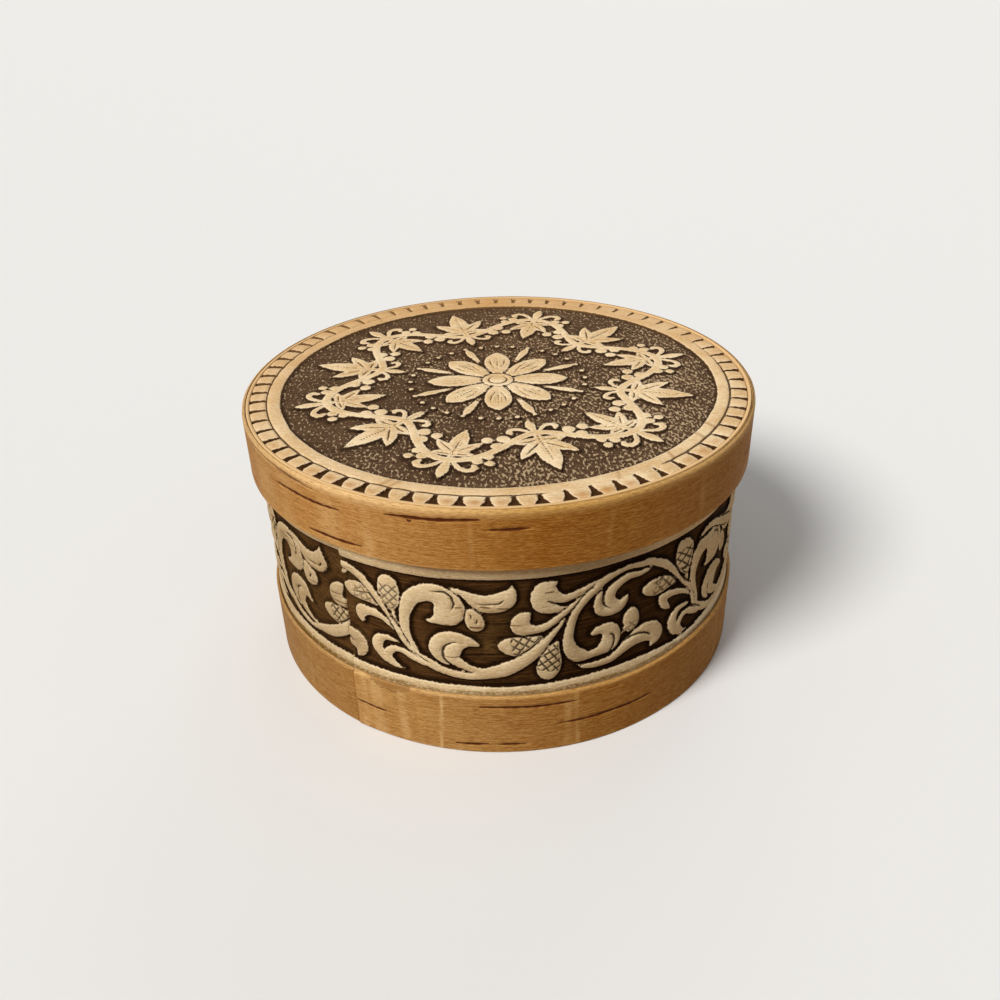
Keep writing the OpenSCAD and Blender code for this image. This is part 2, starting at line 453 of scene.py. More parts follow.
def plainBark(name, look):
    # waxed outer face of the bark: fine fibre along the strip, pores, faint upright streaks, dark dashes,
    # and painted shade by angle round the box
    made, tree, shader = newFinish(name, look["gloss"])
    grains = grainsOf(tree, look["grains"])
    tone = blend(tree, spread(tree, grains["cloud"], *look["cloudSpan"]), look["dark"], look["mid"])
    tone = tinted(tree, tone, grains, look, look["broadTints"])
    # painted shade: a deeper brown towards the right of the front
    tone = marked(tree, tone, "paintedShade", look["paintedShadeBrown"])
    tone = tinted(tree, tone, grains, look, look["fineTints"])
    scuffed = times(tree, markOf(tree, "pale"), spread(tree, grains["grain"], *look["scuffSpan"]))
    tone = blend(tree, scuffed, tone, look["scuff"])
    # painted shade: the same mark darkens the tone further
    tone = marked(tree, tone, "paintedShade", look["paintedShade"], "MULTIPLY")
    tone = marked(tree, tone, "flake", look["flake"])
    tone = blend(tree, engraved(tree, "dash", look["dashSoft"]), tone, look["dash"])
    tone = marked(tree, tone, "grime", look["grime"])
    # painted shade: a grey darkening towards the left side
    tone = marked(tree, tone, "paintedGreyShade", look["paintedGreyShade"], "MULTIPLY")
    rough = spread(tree, grains["broad"], *look["roughSpan"])
    joinUp(tree, shader, tone, rough, [(grains[key], share) for key, share in look["relief"]], look["bump"])
    return made


liningLook = {
    "dark": colour(168, 116, 68), "light": colour(196, 146, 94), "dot": colour(96, 54, 28),
    "cutEdge": colour(236, 198, 142), "grime": colour(70, 44, 20), "rough": 0.6, "bump": (0.2, 0.0003),
    "grains": {
        "fibre": (0.07, 1.6, 6.0, 0.6), "cloud": (0.05, 0.05, 3.0, 0.55), "dots": (0.35, 2.2, 2.0, 0.55)},
    "tints": [("fibre", 0.45, 0.7, 0.5, "light"), ("dots", 0.63, 0.69, 0.55, "dot")],
    "cloudSpan": (0.35, 0.65),
}


def liningBark(name, look):
    # smooth inner face of the bark: even, with long fine lines and few marks
    made, tree, shader = newFinish(name)
    grains = grainsOf(tree, look["grains"])
    tone = blend(tree, spread(tree, grains["cloud"], *look["cloudSpan"]), look["dark"], look["light"])
    tone = tinted(tree, tone, grains, look, look["tints"])
    tone = marked(tree, tone, "pale", look["cutEdge"])
    tone = marked(tree, tone, "grime", look["grime"])
    joinUp(tree, shader, tone, look["rough"], [(grains["fibre"], 1.0)], look["bump"])
    return made


woodLook = {
    "dark": colour(196, 160, 112), "light": colour(222, 192, 148), "pore": colour(150, 112, 70),
    "bandSize": (25, 420, 60), "poreSize": (260, 2600, 900), "bandSpan": (0.35, 0.68),
    "tints": [("pores", 0.56, 0.7, 0.5, "pore")], "rough": 0.62, "bump": (0.15, 0.0003),
}


def paleWood(name, look):
    # sanded fine-grained wood: slow bands across, short pores along the grain
    made, tree, shader = newFinish(name)
    where = addNode(tree, "ShaderNodeTexCoord").outputs["Object"]
    bands = noise(tree, scaled(tree, where, look["bandSize"]), 5.0, 0.6)
    pores = noise(tree, scaled(tree, where, look["poreSize"]))
    tone = blend(tree, spread(tree, bands, *look["bandSpan"]), look["dark"], look["light"])
    tone = tinted(tree, tone, {"pores": pores}, look, look["tints"])
    joinUp(tree, shader, tone, look["rough"], [(pores, 1.0)], look["bump"])
    return made


embossedLook = {
    "gloss": 0.02, "rough": 0.8, "bump": (0.5, 0.0004), "grooveSoft": 0.05, "cutBump": -1.2, "cutShare": 0.9,
    "grains": {
        "ragged": (1.3, 1.3, 3.0, 0.6), "fibre": (0.14, 2.2, 5.0, 0.6), "wrinkle": (0.9, 3.2, 4.0, 0.65),
        "mottle": (1.3, 1.9, 3.0, 0.65), "pores": (2.6, 4.6, 3.0, 0.7), "cloud": (0.09, 0.12, 3.0, 0.55),
        "crack": (0.3, 3.4, 2.0, 0.5)},
    "raggedSpan": (0.3, 0.7, -0.08, 0.08), "raisedSpan": (-0.05, 0.06),
    # the relief tint darkens the ground within 1.3 mm of a raised edge: painted shade at the foot of the
    # raised forms, and stain
    "lowSpan": (0.42, 0.72), "lowTints": [
        ("cloud", 0.45, 0.7, 0.4, "groundLight"), ("mottle", 0.5, 0.7, 0.5, "groundLight"),
        ("wrinkle", 0.5, 0.3, 0.5, "groundDarkAndShade"), ("relief", -1.3, -0.2, 0.85, "groundDarkAndShade")],
    # the first edge tint is a painted highlight with some wear, lighter cream near the raised edges; the
    # second browns the very edge
    "highSpan": (0.35, 0.7), "highTints": [
        ("wrinkle", 0.46, 0.66, 0.5, "cream"), ("wrinkle", 0.5, 0.3, 0.5, "creamDark"),
        ("mottle", 0.52, 0.7, 0.75, "creamDark"), ("mottle", 0.48, 0.3, 0.75, "rim"),
        ("pores", 0.53, 0.72, 0.6, "creamDark"), ("crack", 0.64, 0.71, 0.6, "creamBrown"),
        ("edge", 0.45, 0.2, 0.5, "rim"), ("edge", 0.14, 0.02, 0.55, "creamBrown")],
    "relief": [("fibre", 0.4), ("wrinkle", 0.8), ("mottle", 0.8), ("pores", 0.4)],
}
wallFinish = embossedLook | {
    "cream": colour(242, 219, 176), "creamDark": colour(217, 188, 141), "creamBrown": colour(150, 108, 62),
    # the palest cream gives light specks, the painted highlight by raised edges, and painted light on the
    # low border
    "rim": colour(252, 234, 198), "ground": colour(69, 43, 21), "groundLight": colour(114, 81, 45),
    "groundDarkAndShade": colour(22, 10, 4), "groundWorn": colour(128, 98, 54), "stained": colour(176, 168, 160),
    "line": colour(34, 18, 8), "dash": colour(104, 72, 38), "grime": colour(138, 106, 52),
    # the first colour on the next line is the grey of painted shade
    "paintedGreyShade": colour(205, 201, 195), "rubbedSpan": (0.35, 0.6, 0.2, 1.0), "grimeSpan": (0.3, 0.6, 0.4, 1.0),
    "dashSoft": 0.1, "dashHigh": 0.85, "dashLow": 0.8,
    "hatchPitch": 1.9, "hatchSpan": (0.32, 0.2), "hatchFade": (0.35, 0.5, 0.5, 1.0), "coneSpan": (0.0, 0.25),
}
lidFinish = embossedLook | {
    "cream": colour(254, 231, 190), "creamDark": colour(224, 188, 136), "creamBrown": colour(150, 104, 58),
    # the palest cream gives light specks and the painted highlight by raised edges
    "rim": colour(255, 240, 208), "ground": colour(76, 55, 39), "groundLight": colour(108, 83, 60),
    "groundDarkAndShade": colour(50, 34, 22), "line": colour(62, 38, 18), "toothEnd": colour(190, 132, 70),
    "ring": colour(208, 158, 98), "ringOnGround": 0.6, "notch": colour(70, 43, 17),
    "notchSpan": (-0.2, -0.35, 0.0, 0.7),
    "flecks": colour(204, 176, 138), "fleckSize": (1.9, 0.95, 1), "fleckLean": 38, "fleckSpan": (0.54, 0.63),
    "fleckShore": (-0.25, -0.6), "fleckShare": 0.8, "fleckBump": 1.1,
    "patchSize": (0.05, 0.05, 1), "patchSpan": (0.3, 0.7, -0.04, 0.04),
}


def flecksOf(tree, relief, look):
    # short raised specks left all over the stained ground, thicker in some places
    place = barkPlace(tree)
    speck = noise(tree, scaled(tree, place, look["fleckSize"], look["fleckLean"]), 2.0, 0.5)
    patch = noise(tree, scaled(tree, place, look["patchSize"]), 2.0)
    thick = maths(tree, "ADD", spread(tree, patch, *look["patchSpan"]), markOf(tree, "worn"))
    fleck = spread(tree, maths(tree, "ADD", speck, thick), *look["fleckSpan"])
    return times(tree, fleck, spread(tree, relief, *look["fleckShore"]))


def agedLid(tree, low, high, look):
    # brown ends of the teeth, marks across the plain ring, the ring's tone, and stain in the notches
    high = marked(tree, high, "toothEnd", look["toothEnd"])
    high = marked(tree, high, "stain", look["creamBrown"])
    ringed = markOf(tree, "ringed")
    high = blend(tree, ringed, high, look["ring"])
    low = blend(tree, spread(tree, markOf(tree, "worn"), *look["notchSpan"]), low, look["notch"])
    low = blend(tree, times(tree, times(tree, ringed, ringed), look["ringOnGround"]), low, look["ring"])
    return low, high


def wallStainAndLight(tree, low, high, wrinkle, look):
    # stain that changes round the box, rubbed spots, painted light on a stretch of the low border, and dark
    # dashes
    low = marked(tree, low, "stained", look["stained"], "MULTIPLY")
    rubbed = times(tree, markOf(tree, "rubbed"), spread(tree, wrinkle, *look["rubbedSpan"]))
    low = blend(tree, rubbed, low, look["groundWorn"])
    high = blend(tree, rubbed, high, look["creamBrown"])
    # painted light: a paler low border on the right, out of the key light
    high = marked(tree, high, "pale", look["rim"])
    dash = engraved(tree, "dash", look["dashSoft"])
    high = blend(tree, times(tree, dash, look["dashHigh"]), high, look["dash"])
    low = blend(tree, times(tree, dash, look["dashLow"]), low, look["groundDarkAndShade"])
    return low, high


def hatchOf(tree, mottle, look):
    # two sets of lines over the cones, one leaning each way, fainter in places
    down, side, pitch = markOf(tree, "coneDown"), markOf(tree, "coneSide"), look["hatchPitch"]
    lines = []
    for lean in ("ADD", "SUBTRACT"):
        run = maths(tree, "DIVIDE", maths(tree, lean, down, side), pitch)
        off = times(tree, maths(tree, "PINGPONG", run, 0.5), pitch)
        lines.append(spread(tree, off, *look["hatchSpan"]))
    inCone = spread(tree, markOf(tree, "coneIn"), *look["coneSpan"])
    hatch = times(tree, maths(tree, "MAXIMUM", *lines), inCone)
    return times(tree, hatch, spread(tree, mottle, *look["hatchFade"]))


def embossedBark(name, look, onLid):
    # raised cream over a stained ground: the mark "relief" is the distance inside the raised edge
    made, tree, shader = newFinish(name, look["gloss"])
    values = grainsOf(tree, look["grains"])
    relief = values["relief"] = markOf(tree, "relief")
    edge = maths(tree, "ADD", relief, spread(tree, values["ragged"], *look["raggedSpan"]))
    values["edge"] = edge
    raised = spread(tree, edge, *look["raisedSpan"])
    low = blend(tree, spread(tree, values["fibre"], *look["lowSpan"]), look["ground"], look["groundLight"])
    low = tinted(tree, low, values, look, look["lowTints"])
    high = blend(tree, spread(tree, values["cloud"], *look["highSpan"]), look["creamDark"], look["cream"])
    high = tinted(tree, high, values, look, look["highTints"])
    cut = engraved(tree, "groove", look["grooveSoft"])
    heights = [(values[key], share) for key, share in look["relief"]]
    if onLid:
        fleck = flecksOf(tree, relief, look)
        heights.append((fleck, look["fleckBump"]))
        low = blend(tree, times(tree, fleck, look["fleckShare"]), low, look["flecks"])
        low, high = agedLid(tree, low, high, look)
        tone = blend(tree, raised, low, high)
    else:
        low, high = wallStainAndLight(tree, low, high, values["wrinkle"], look)
        cut = maths(tree, "MAXIMUM", cut, hatchOf(tree, values["mottle"], look))
        tone = blend(tree, raised, low, high)
        # grime, and the painted shade under the lid that shares its mark
        grime = times(tree, markOf(tree, "grime"), spread(tree, values["mottle"], *look["grimeSpan"]))
        tone = blend(tree, grime, tone, look["grime"])
        # painted shade: darker at the far left and at the right of the front, less so low down
        tone = marked(tree, tone, "paintedShade", look["paintedGreyShade"], "MULTIPLY")
    cut = times(tree, cut, raised)
    heights.append((cut, look["cutBump"]))
    tone = blend(tree, times(tree, cut, look["cutShare"]), tone, look["line"])
    joinUp(tree, shader, tone, look["rough"], heights, look["bump"])
    return made


finishes = {
    "lidBand": plainBark("lid band bark", plainLook | lidBandTones),
    "lowerBand": plainBark("lower band bark", plainLook | lowerBandTones),
    "wall": embossedBark("embossed wall bark", wallFinish, False),
    "lidFace": embossedBark("embossed lid bark", lidFinish, True),
    "lining": liningBark("bark lining", liningLook),
    "wood": paleWood("sanded wood", woodLook),
}
print("finishes made:", len(finishes))


def finishPiece(piece, finish, body, node):
    piece.data.materials.append(finishes[finish])
    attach(piece, body)
    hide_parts(node)
    print("made", piece.name, len(piece.data.polygons), "faces")


# Embossed wall: one repeat of the scroll, as strokes (run, height, half width), in the order they lie.
# A run is measured along the strip from its seam, and a run below 0 is near the strip's end

wallLook = {
    "seam": -35.5, "columns": 900, "rowStep": 0.325, "reach": 0.17, "topRound": 0.3, "lowRound": 0.2,
    "rowsBelow": [8, 13.2, 14.2], "fineRows": (14.7, 41.6), "rowsAbove": [42.4, 43.2, 45, 48, 50],
    "repeat": 60.0, "wholeRepeats": 5, "frontRun": 85.0, "endRun": 36.0, "endPhase": 37.2,
    # where the stem was pressed askew, and where the rest sags on the right
    "stemRise": (24, 27), "stemEnd": (73.5, 72),
    "stemShift": [(55, 0), (60, -0.8), (68, -0.9), (72, 0)],
    "stemSag": [(55, 0), (58, 0.4), (60, 0.4), (62, 0.7), (64, 0.55), (66, 0.1), (68, -0.4), (72, -0.4)],
    "sag": 1.5, "sagStart": (62, 67), "sagEnd": (150, 110), "sagTop": (40.5, 33),
    # local slips (run, height, move along, move up, reach along, reach up)
    "slips": [
        (70.5, 31.5, 0.7, -1.2, 1.5, 2.5), (69, 39, -0.3, -0.1, 3, 2), (61.6, 17.6, 0, 0.35, 1.5, 1.2),
        (68, 21, 0.9, 0.2, 4, 4), (78, 37.5, 0, -2, 5, 4), (74, 36.5, 0, 1, 2, 2.5),
        (72, 25.5, 0.8, 0.3, 2.5, 2.5), (72.2, 23.4, 0.7, 0, 1.8, 1.6), (78.8, 32, -0.9, -0.2, 1.8, 2.5),
        (75, 23.3, 0.9, 0, 2.2, 3.5), (-17.3, 32.5, 1, 0, 2, 2.5), (-5, 39, -1.4, 0.6, 2.2, 2),
        (-8, 31.5, 1.3, 0.1, 2, 3), (-10.6, 25, -0.5, -1.7, 2, 2.2), (-1, 33, 0.5, 0.6, 1.2, 1.5)],
    # single strokes that lie elsewhere on one stretch (start, end, move along, move up, stretch); a
    # move of -40 up takes a stroke off that stretch
    "nudges": {
        "side cone": (56, 75, -1.4, -1.5, 0.2), "side leaf": (56, 75, 0, -40, 0),
        "long leaf": (-30, 0, -0.7, 0.3, 0), "top leaf": (-3, 0, 0, -40, 0),
        "belly of top leaf": (-3, 0, 0, -40, 0)},
    # strokes that only the right side has, in its own place: a top leaf, and the side leaf with its hook
    "rightStrokes": [
        (0.4, [(74.6, 36.8, 0.2), (75.8, 37.3, 0.5), (77.2, 37.65, 0.68), (79, 37.6, 0.75), (81, 37.1, 0.8),
               (83, 36.25, 0.85), (85, 35.3, 0.9), (87, 34.5, 0.9), (89, 34, 0.8)]),
        (0.3, [(63.6, 28.3, 0.8), (65, 28.15, 0.95), (66.5, 28, 0.85), (68, 27.6, 0.75), (69.5, 26.95, 0.6),
               (71, 26.1, 0.5), (72.2, 25, 0.3)]),
        (0, [(63.75, 28, 0.95), (64.2, 26.8, 1.0), (65.1, 25.6, 0.75), (66, 24.7, 0.25)])],
    "groundDepth": 0.75, "dome": 0.34, "domeRun": 0.65, "grooveDepth": 0.35, "hatchDepth": 0.2,
    "hatchEdge": 0.3, "lapRise": 0.18, "lapRun": 5, "endDip": 0.25, "endDipRun": 0.35, "mostRise": 0.2,
    "wave": (0.05, 3, 24), "waveLean": 90, "edgeWave": (0.05, 5, 40),
    # soft round spots (run, height, radius, share): strokes pressed thinner, and rubbed places
    "slim": 0.02, "thins": [(-9, 19.6, 5, 0.4), (68, 33, 5, 0.1)],
    "rubbed": [
        (1.8, 21.5, 2.4, 0.65), (0.8, 28.6, 1.5, 0.7), (-2, 37, 3, 0.45), (2, 36.6, 2, 0.4),
        (2.5, 31, 2, 0.3), (-5, 28, 5, 0.3), (28.5, 25.2, 1.8, 0.6), (29, 29, 1.6, 0.4), (-22, 18, 3, 0.4),
        (-16, 28, 14, 0.26), (30, 31, 4, 0.22)],
    # by run: how far into a cone its hatching counts, and the edges of the two borders
    "hatchFade": [
        (0, 0.14), (7, 0.14), (8, 0.17), (20, 0.17), (28, 0.25), (45, 0.25), (55, 0.14), (64, 0.17),
        (67, 0.25), (120, 0.2), (200, 0.15), (-8, 0.22), (-0.05, 0.2)],
    "highEdge": [
        (0, 40.1), (15, 40.15), (30, 40.3), (45, 40.25), (55, 40.45), (62, 40.25), (90, 40.1), (200, 40.3),
        (-25, 40.05), (-15, 40.35), (-10, 40.6), (-5, 40.95), (-0.05, 41.05)],
    "lowEdge": [
        (0, 16.25), (15, 15.95), (30, 15.75), (40, 15.85), (46, 16.15), (55, 16.35), (62, 16.1), (68, 15.4),
        (75, 15.5), (80, 16.1), (86, 16.4), (100, 16.1), (200, 15.8), (-25, 17.0), (-15, 16.8),
        (-10, 16.55), (-0.05, 16.45)],
    # by angle from the front: stain in the ground, painted shade over all, grime and painted light on the
    # low border
    "stained": [
        (-180, 0.5), (-60, 0), (-35, 0), (-15, 0.25), (0, 0.45), (30, 0.75), (60, 0.7), (100, 0.6),
        (180, 0.5)],
    "paintedGreyShade": [
        (-180, 0.2), (-65, 0.9), (-52, 0.78), (-38, 0.6), (-29, 0.05), (0, 0.25), (15, 0.75), (28, 0.45),
        (42, 0), (180, 0.1)],
    # the painted shade above is halved towards the bottom, between these heights
    "greyShadeLess": 0.5, "greyShadeSpan": (17, 15.3),
    "grime": [
        (-180, 0.4), (-65, 0.6), (-52, 0.9), (-42, 0.4), (-26, 0.2), (-13, 0), (0, 0), (13, 0.15),
        (26, 0.2), (39, 0), (65, 0), (100, 0.2), (180, 0.4)],
    # the last two are painted shade on the wall just under the lid's edge
    "grimeSpan": (15.9, 14.7), "bandTop": (13.5, 14.2), "lidGrime": 0.35, "lidGrimeSpan": (42.7, 43.5),
    "seamGrime": 0.6, "glue": 0.8, "glueHeight": 14.75, "glueWave": (0.22, 31, 60),
    # painted light: the low border is made paler on the right, where it lies out of the key light
    "paintedLightBorder": [(32, 0), (40, 0.6), (48, 0.95), (75, 0.95), (110, 0)], "paintedLightSpan": (17.2, 16.2),
    # lenticels (run, height, length, half width, tilt)
    "dashes": [
        (31.4, 30.4, 7, 0.2, -0.3), (25.8, 23.1, 11, 0.2, 0.8), (39.7, 37.1, 2.2, 0.22, 0),
        (46.8, 19.4, 4, 0.25, 0), (26.4, 29.95, 2.8, 0.3, 0), (28.2, 34.6, 2.2, 0.28, -0.2),
        (31.5, 34.2, 2.6, 0.2, -0.3), (23.4, 34.35, 1.6, 0.2, 0), (-19, 36.6, 5, 0.2, 0.2),
        (-18.6, 35.45, 7, 0.15, 0.2), (-3, 30.8, 4, 0.17, 0.3), (-2.3, 29.15, 5, 0.17, 0),
        (-9, 30.3, 3.4, 0.17, 0), (100, 28, 9, 0.2, 0.2), (125, 35, 6, 0.18, -0.2), (150, 21, 12, 0.2, 0.3),
        (178, 31, 7, 0.18, 0), (205, 25.5, 10, 0.2, -0.3), (232, 37, 5, 0.18, 0), (255, 19.5, 8, 0.2, 0.2)],
}

scrollStrokes = {
    "left cone": (0, [
        (31.6, 25.6, 1.4), (32.8, 25.4, 2.05), (34.2, 25.25, 2.1), (35.6, 25.65, 1.7), (36.8, 26.3, 1.05),
        (38.1, 27.05, 0.45)]),
    "low cone": (0, [
        (39.55, 18.6, 1.85), (39.6, 19.5, 2.3), (39.85, 20.7, 2.25), (40.1, 22, 1.85), (40.4, 23.3, 1.35),
        (40.8, 24.5, 0.8), (41.2, 25.4, 0.42)]),
    "side cone": (0, [
        (1.3, 33.75, 1.25), (2.3, 33.7, 1.8), (3.4, 33.65, 1.95), (4.6, 33.25, 1.65), (5.8, 32.7, 1.15),
        (7, 32, 0.7)]),
    "upper cone": (0, [
        (9.95, 37.1, 1.95), (9.98, 36.2, 2.25), (10, 35.2, 2.2), (10.15, 34, 1.85), (10.25, 33, 1.5),
        (10.2, 32.2, 1.0)]),
    "upper cone stem": (0, [(10.8, 31.2, 0.3), (10.6, 30.2, 0.42), (10.85, 29.1, 0.32), (11.1, 28.2, 0.2)]),
    "side leaf": (0, [
        (12, 25.6, 0.4), (10.9, 26.7, 0.5), (10, 27.55, 0.5), (9, 28.3, 0.55), (8, 29, 0.65),
        (6.5, 29.5, 0.97), (5, 29.5, 1.05), (3.7, 29.2, 1.35), (3.25, 28, 1.0), (3.55, 27, 0.6)]),
    "hook leaf": (0.35, [
        (36.1, 32.7, 0.3), (35.5, 32.3, 0.75), (34.9, 31.7, 1.4), (34.4, 30.75, 1.72), (34.6, 29.7, 1.78),
        (35.7, 29.1, 1.22), (37, 29, 0.98), (38.4, 29.15, 0.87), (40, 29.95, 0.75), (41.5, 31.1, 0.72),
        (43, 32.25, 0.62), (44.2, 33.2, 0.65), (45.5, 34.2, 0.6), (46.8, 35.2, 0.4)]),
    "belly of top leaf": (0, [
        (38.3, 36.6, 1.95), (38.35, 35.6, 2.05), (38.7, 34.6, 2.0), (39.6, 33.75, 1.5), (40.8, 33.15, 0.88),
        (41.9, 33.15, 0.42), (42.7, 33.25, 0.1)]),
    "top leaf": (0, [
        (49.6, 37.5, 0.4), (48, 37, 0.5), (46, 36.1, 0.75), (44, 35.42, 0.8), (42.4, 35.15, 0.92),
        (41, 35.7, 1.15), (39.9, 36.5, 1.6), (38.9, 37.1, 2.2), (39.2, 38, 1.35), (40.4, 38.6, 0.65),
        (41.1, 39, 0.2)]),
    "main stem": (0.42, [
        (-5, 38.65, 0.56), (-3, 38.65, 0.58), (-1, 38.6, 0.7), (1, 38.4, 0.8), (2.5, 37.85, 0.85),
        (4, 37.05, 0.88), (5.2, 36, 0.85), (6.4, 34.6, 0.78), (7.5, 33.1, 0.68), (8.7, 31.1, 0.52),
        (9.5, 29.9, 0.42), (10.3, 28.5, 0.4), (11.1, 27.2, 0.55), (12.1, 25.4, 0.72), (13, 23.9, 0.62),
        (14, 22.8, 0.55), (15.2, 21.9, 0.6), (16.5, 21, 0.8), (17.8, 20.1, 1.0), (19.2, 19.35, 0.9),
        (21, 18.75, 0.82), (23, 18.4, 0.85), (25, 18.2, 0.78), (27, 18.7, 1.1), (29, 19.3, 1.4),
        (31, 19.85, 1.62), (33, 20.75, 1.55), (35, 21.9, 1.38), (37, 23.5, 1.2), (38.5, 25.2, 0.95),
        (40, 27.1, 0.7), (41, 28.25, 0.52), (42.2, 29.9, 0.35), (42.6, 30.6, 0.1)]),
    "arch": (0, [
        (44, 30, 0.8), (44.6, 31.4, 0.78), (45.7, 33, 0.72), (47, 34.6, 0.82), (48.2, 35.6, 0.8),
        (49.2, 36.6, 0.88), (50.2, 37.3, 0.85), (51.5, 37.85, 0.75), (53, 38.25, 0.6), (55, 38.55, 0.52),
        (57, 38.65, 0.56), (59, 38.55, 0.62), (60.5, 38.45, 0.75), (62, 38.1, 0.85)]),
    "low curl": (0, [
        (44.2, 30.3, 0.82), (43.8, 29, 0.86), (43.5, 27.6, 0.95), (43.3, 26, 1.02), (43.4, 24.8, 1.15),
        (43.7, 23.6, 1.32), (44.3, 22.4, 1.5), (45.4, 21.4, 1.52), (47.2, 20.95, 0.98), (49, 21.2, 1.0),
        (50.4, 21.7, 1.4), (51.6, 22.5, 1.98), (52, 23.8, 2.0), (51.95, 25, 1.78), (51.2, 25.9, 1.5),
        (50, 26.3, 1.05), (48.8, 26.1, 0.85), (48.05, 25.75, 0.45), (47.7, 25.5, 0.1)]),
    "low leaf": (0, [
        (45.1, 19.3, 0.1), (46.2, 18.6, 0.45), (48, 18.3, 0.68), (50, 18.3, 0.8), (52, 18.5, 0.85),
        (53.4, 19.25, 1.0), (54.8, 20.1, 1.2), (56.4, 21, 1.5), (58, 21.7, 1.95), (60, 21.85, 2.25),
        (61.7, 21.2, 2.2), (62.4, 19.9, 1.6), (62.15, 18.6, 1.0), (61.5, 17.55, 0.35)]),
    "small bud": (0, [(56.5, 28.2, 1.0), (56.5, 27.3, 2.0), (56.5, 26.2, 1.95), (56.4, 25.2, 1.4),
                      (55.9, 24.2, 0.6)]),
    "bud stem": (0, [(55.3, 26, 0.35), (54.9, 25, 0.3), (54.6, 24, 0.2)]),
    "arch back": (0, [
        (49.75, 35.2, 0.2), (49.35, 34.2, 0.6), (49.05, 33.1, 0.82), (49.05, 31.9, 0.95),
        (49.5, 30.8, 1.05), (50.5, 30.15, 1.0), (52, 29.95, 1.02), (53.2, 30, 0.8)]),
    "arch curl": (0, [
        (61, 37.1, 0.25), (60.2, 36.85, 0.45), (59, 36.75, 0.55), (58, 36.65, 0.6), (56, 36.7, 0.74),
        (54, 36.15, 0.85), (52.2, 35.1, 1.05), (51.5, 34, 1.15), (51.4, 32.9, 1.12), (51.8, 31.6, 1.3),
        (52.8, 30.6, 1.5), (54, 31, 1.05), (54.9, 31.9, 0.55), (55.2, 32.6, 0.15)]),
    "foot leaf back": (0, [
        (11.3, 23.9, 0.08), (10.2, 24.2, 0.42), (9, 24.4, 0.62), (7.8, 24.2, 0.78), (6.9, 23.5, 1.08),
        (6.4, 22.4, 1.22), (6.5, 21.3, 1.18), (7.2, 20.2, 1.05), (8, 19.3, 1.0)]),
    "foot leaf front": (0, [
        (17.2, 20.1, 0.5), (15.9, 20.3, 0.72), (14.5, 20.85, 0.72), (13, 21.55, 0.75), (12, 22.1, 0.66),
        (11, 22.22, 0.66), (10, 22.1, 0.74), (9.2, 21.5, 0.88), (8.6, 20.6, 1.0), (8.6, 19.6, 1.05),
        (9.3, 18.75, 0.95), (10.2, 18.25, 0.65), (11.2, 17.95, 0.3), (12.1, 17.85, 0.08)]),
    "big curl": (0, [
        (15, 22.6, 0.25), (14.2, 23.9, 0.55), (13.65, 25.1, 0.6), (13.1, 26.4, 0.75), (12.8, 27.7, 0.92),
        (12.72, 29, 1.02), (12.85, 30.6, 1.08), (13.2, 32.2, 1.25), (13.75, 33.7, 1.45), (14.5, 35, 1.6),
        (15.9, 36.1, 1.75), (17.7, 36.75, 1.95), (19.6, 36.6, 2.15), (21, 35.5, 2.45), (21.7, 34, 2.8),
        (21.5, 32.7, 2.8), (20.5, 31.75, 1.9), (19.2, 30.95, 1.05), (18.1, 30.55, 0.55),
        (17.1, 30.5, 0.1)]),
    "long leaf": (0.3, [
        (22, 38.3, 0.25), (23, 37.75, 0.55), (24, 37.5, 0.62), (25, 36.85, 0.9), (26, 36.15, 1.25),
        (27, 35.55, 1.6), (28.2, 35.15, 1.9), (29.5, 35.15, 2.0), (30.8, 35.4, 2.05), (31.8, 36, 1.95),
        (32.55, 36.9, 1.35), (32.95, 37.8, 0.75), (33.05, 38.7, 0.2), (33.05, 39.2, 0.05)]),
    "curl bud": (0.35, [(25.5, 33.3, 0.75), (25.9, 32.4, 1.3), (26.15, 31.4, 1.72), (26.35, 30.55, 1.65)]),
    "crescent": (0, [
        (26.75, 25.7, 0.3), (25.7, 26.15, 0.8), (24.2, 26.65, 1.2), (22.6, 27.05, 1.42), (20.9, 26.95, 1.5),
        (19.5, 26.1, 1.5), (18.65, 24.9, 1.4), (18.55, 23.7, 1.25), (19.1, 22.5, 1.0), (19.9, 21.55, 0.7),
        (20.8, 20.8, 0.25)]),
    "inner crescent": (0, [
        (25.2, 25.75, 0.4), (23.9, 25.5, 0.6), (22.7, 24.9, 1.1), (21.9, 24, 1.55), (21.65, 23, 1.45),
        (21.9, 22, 1.3), (22.9, 21.2, 1.15), (24.2, 20.45, 0.95), (25.6, 19.85, 0.75), (27, 19.6, 0.75),
        (28.6, 19.8, 0.6)]),
}

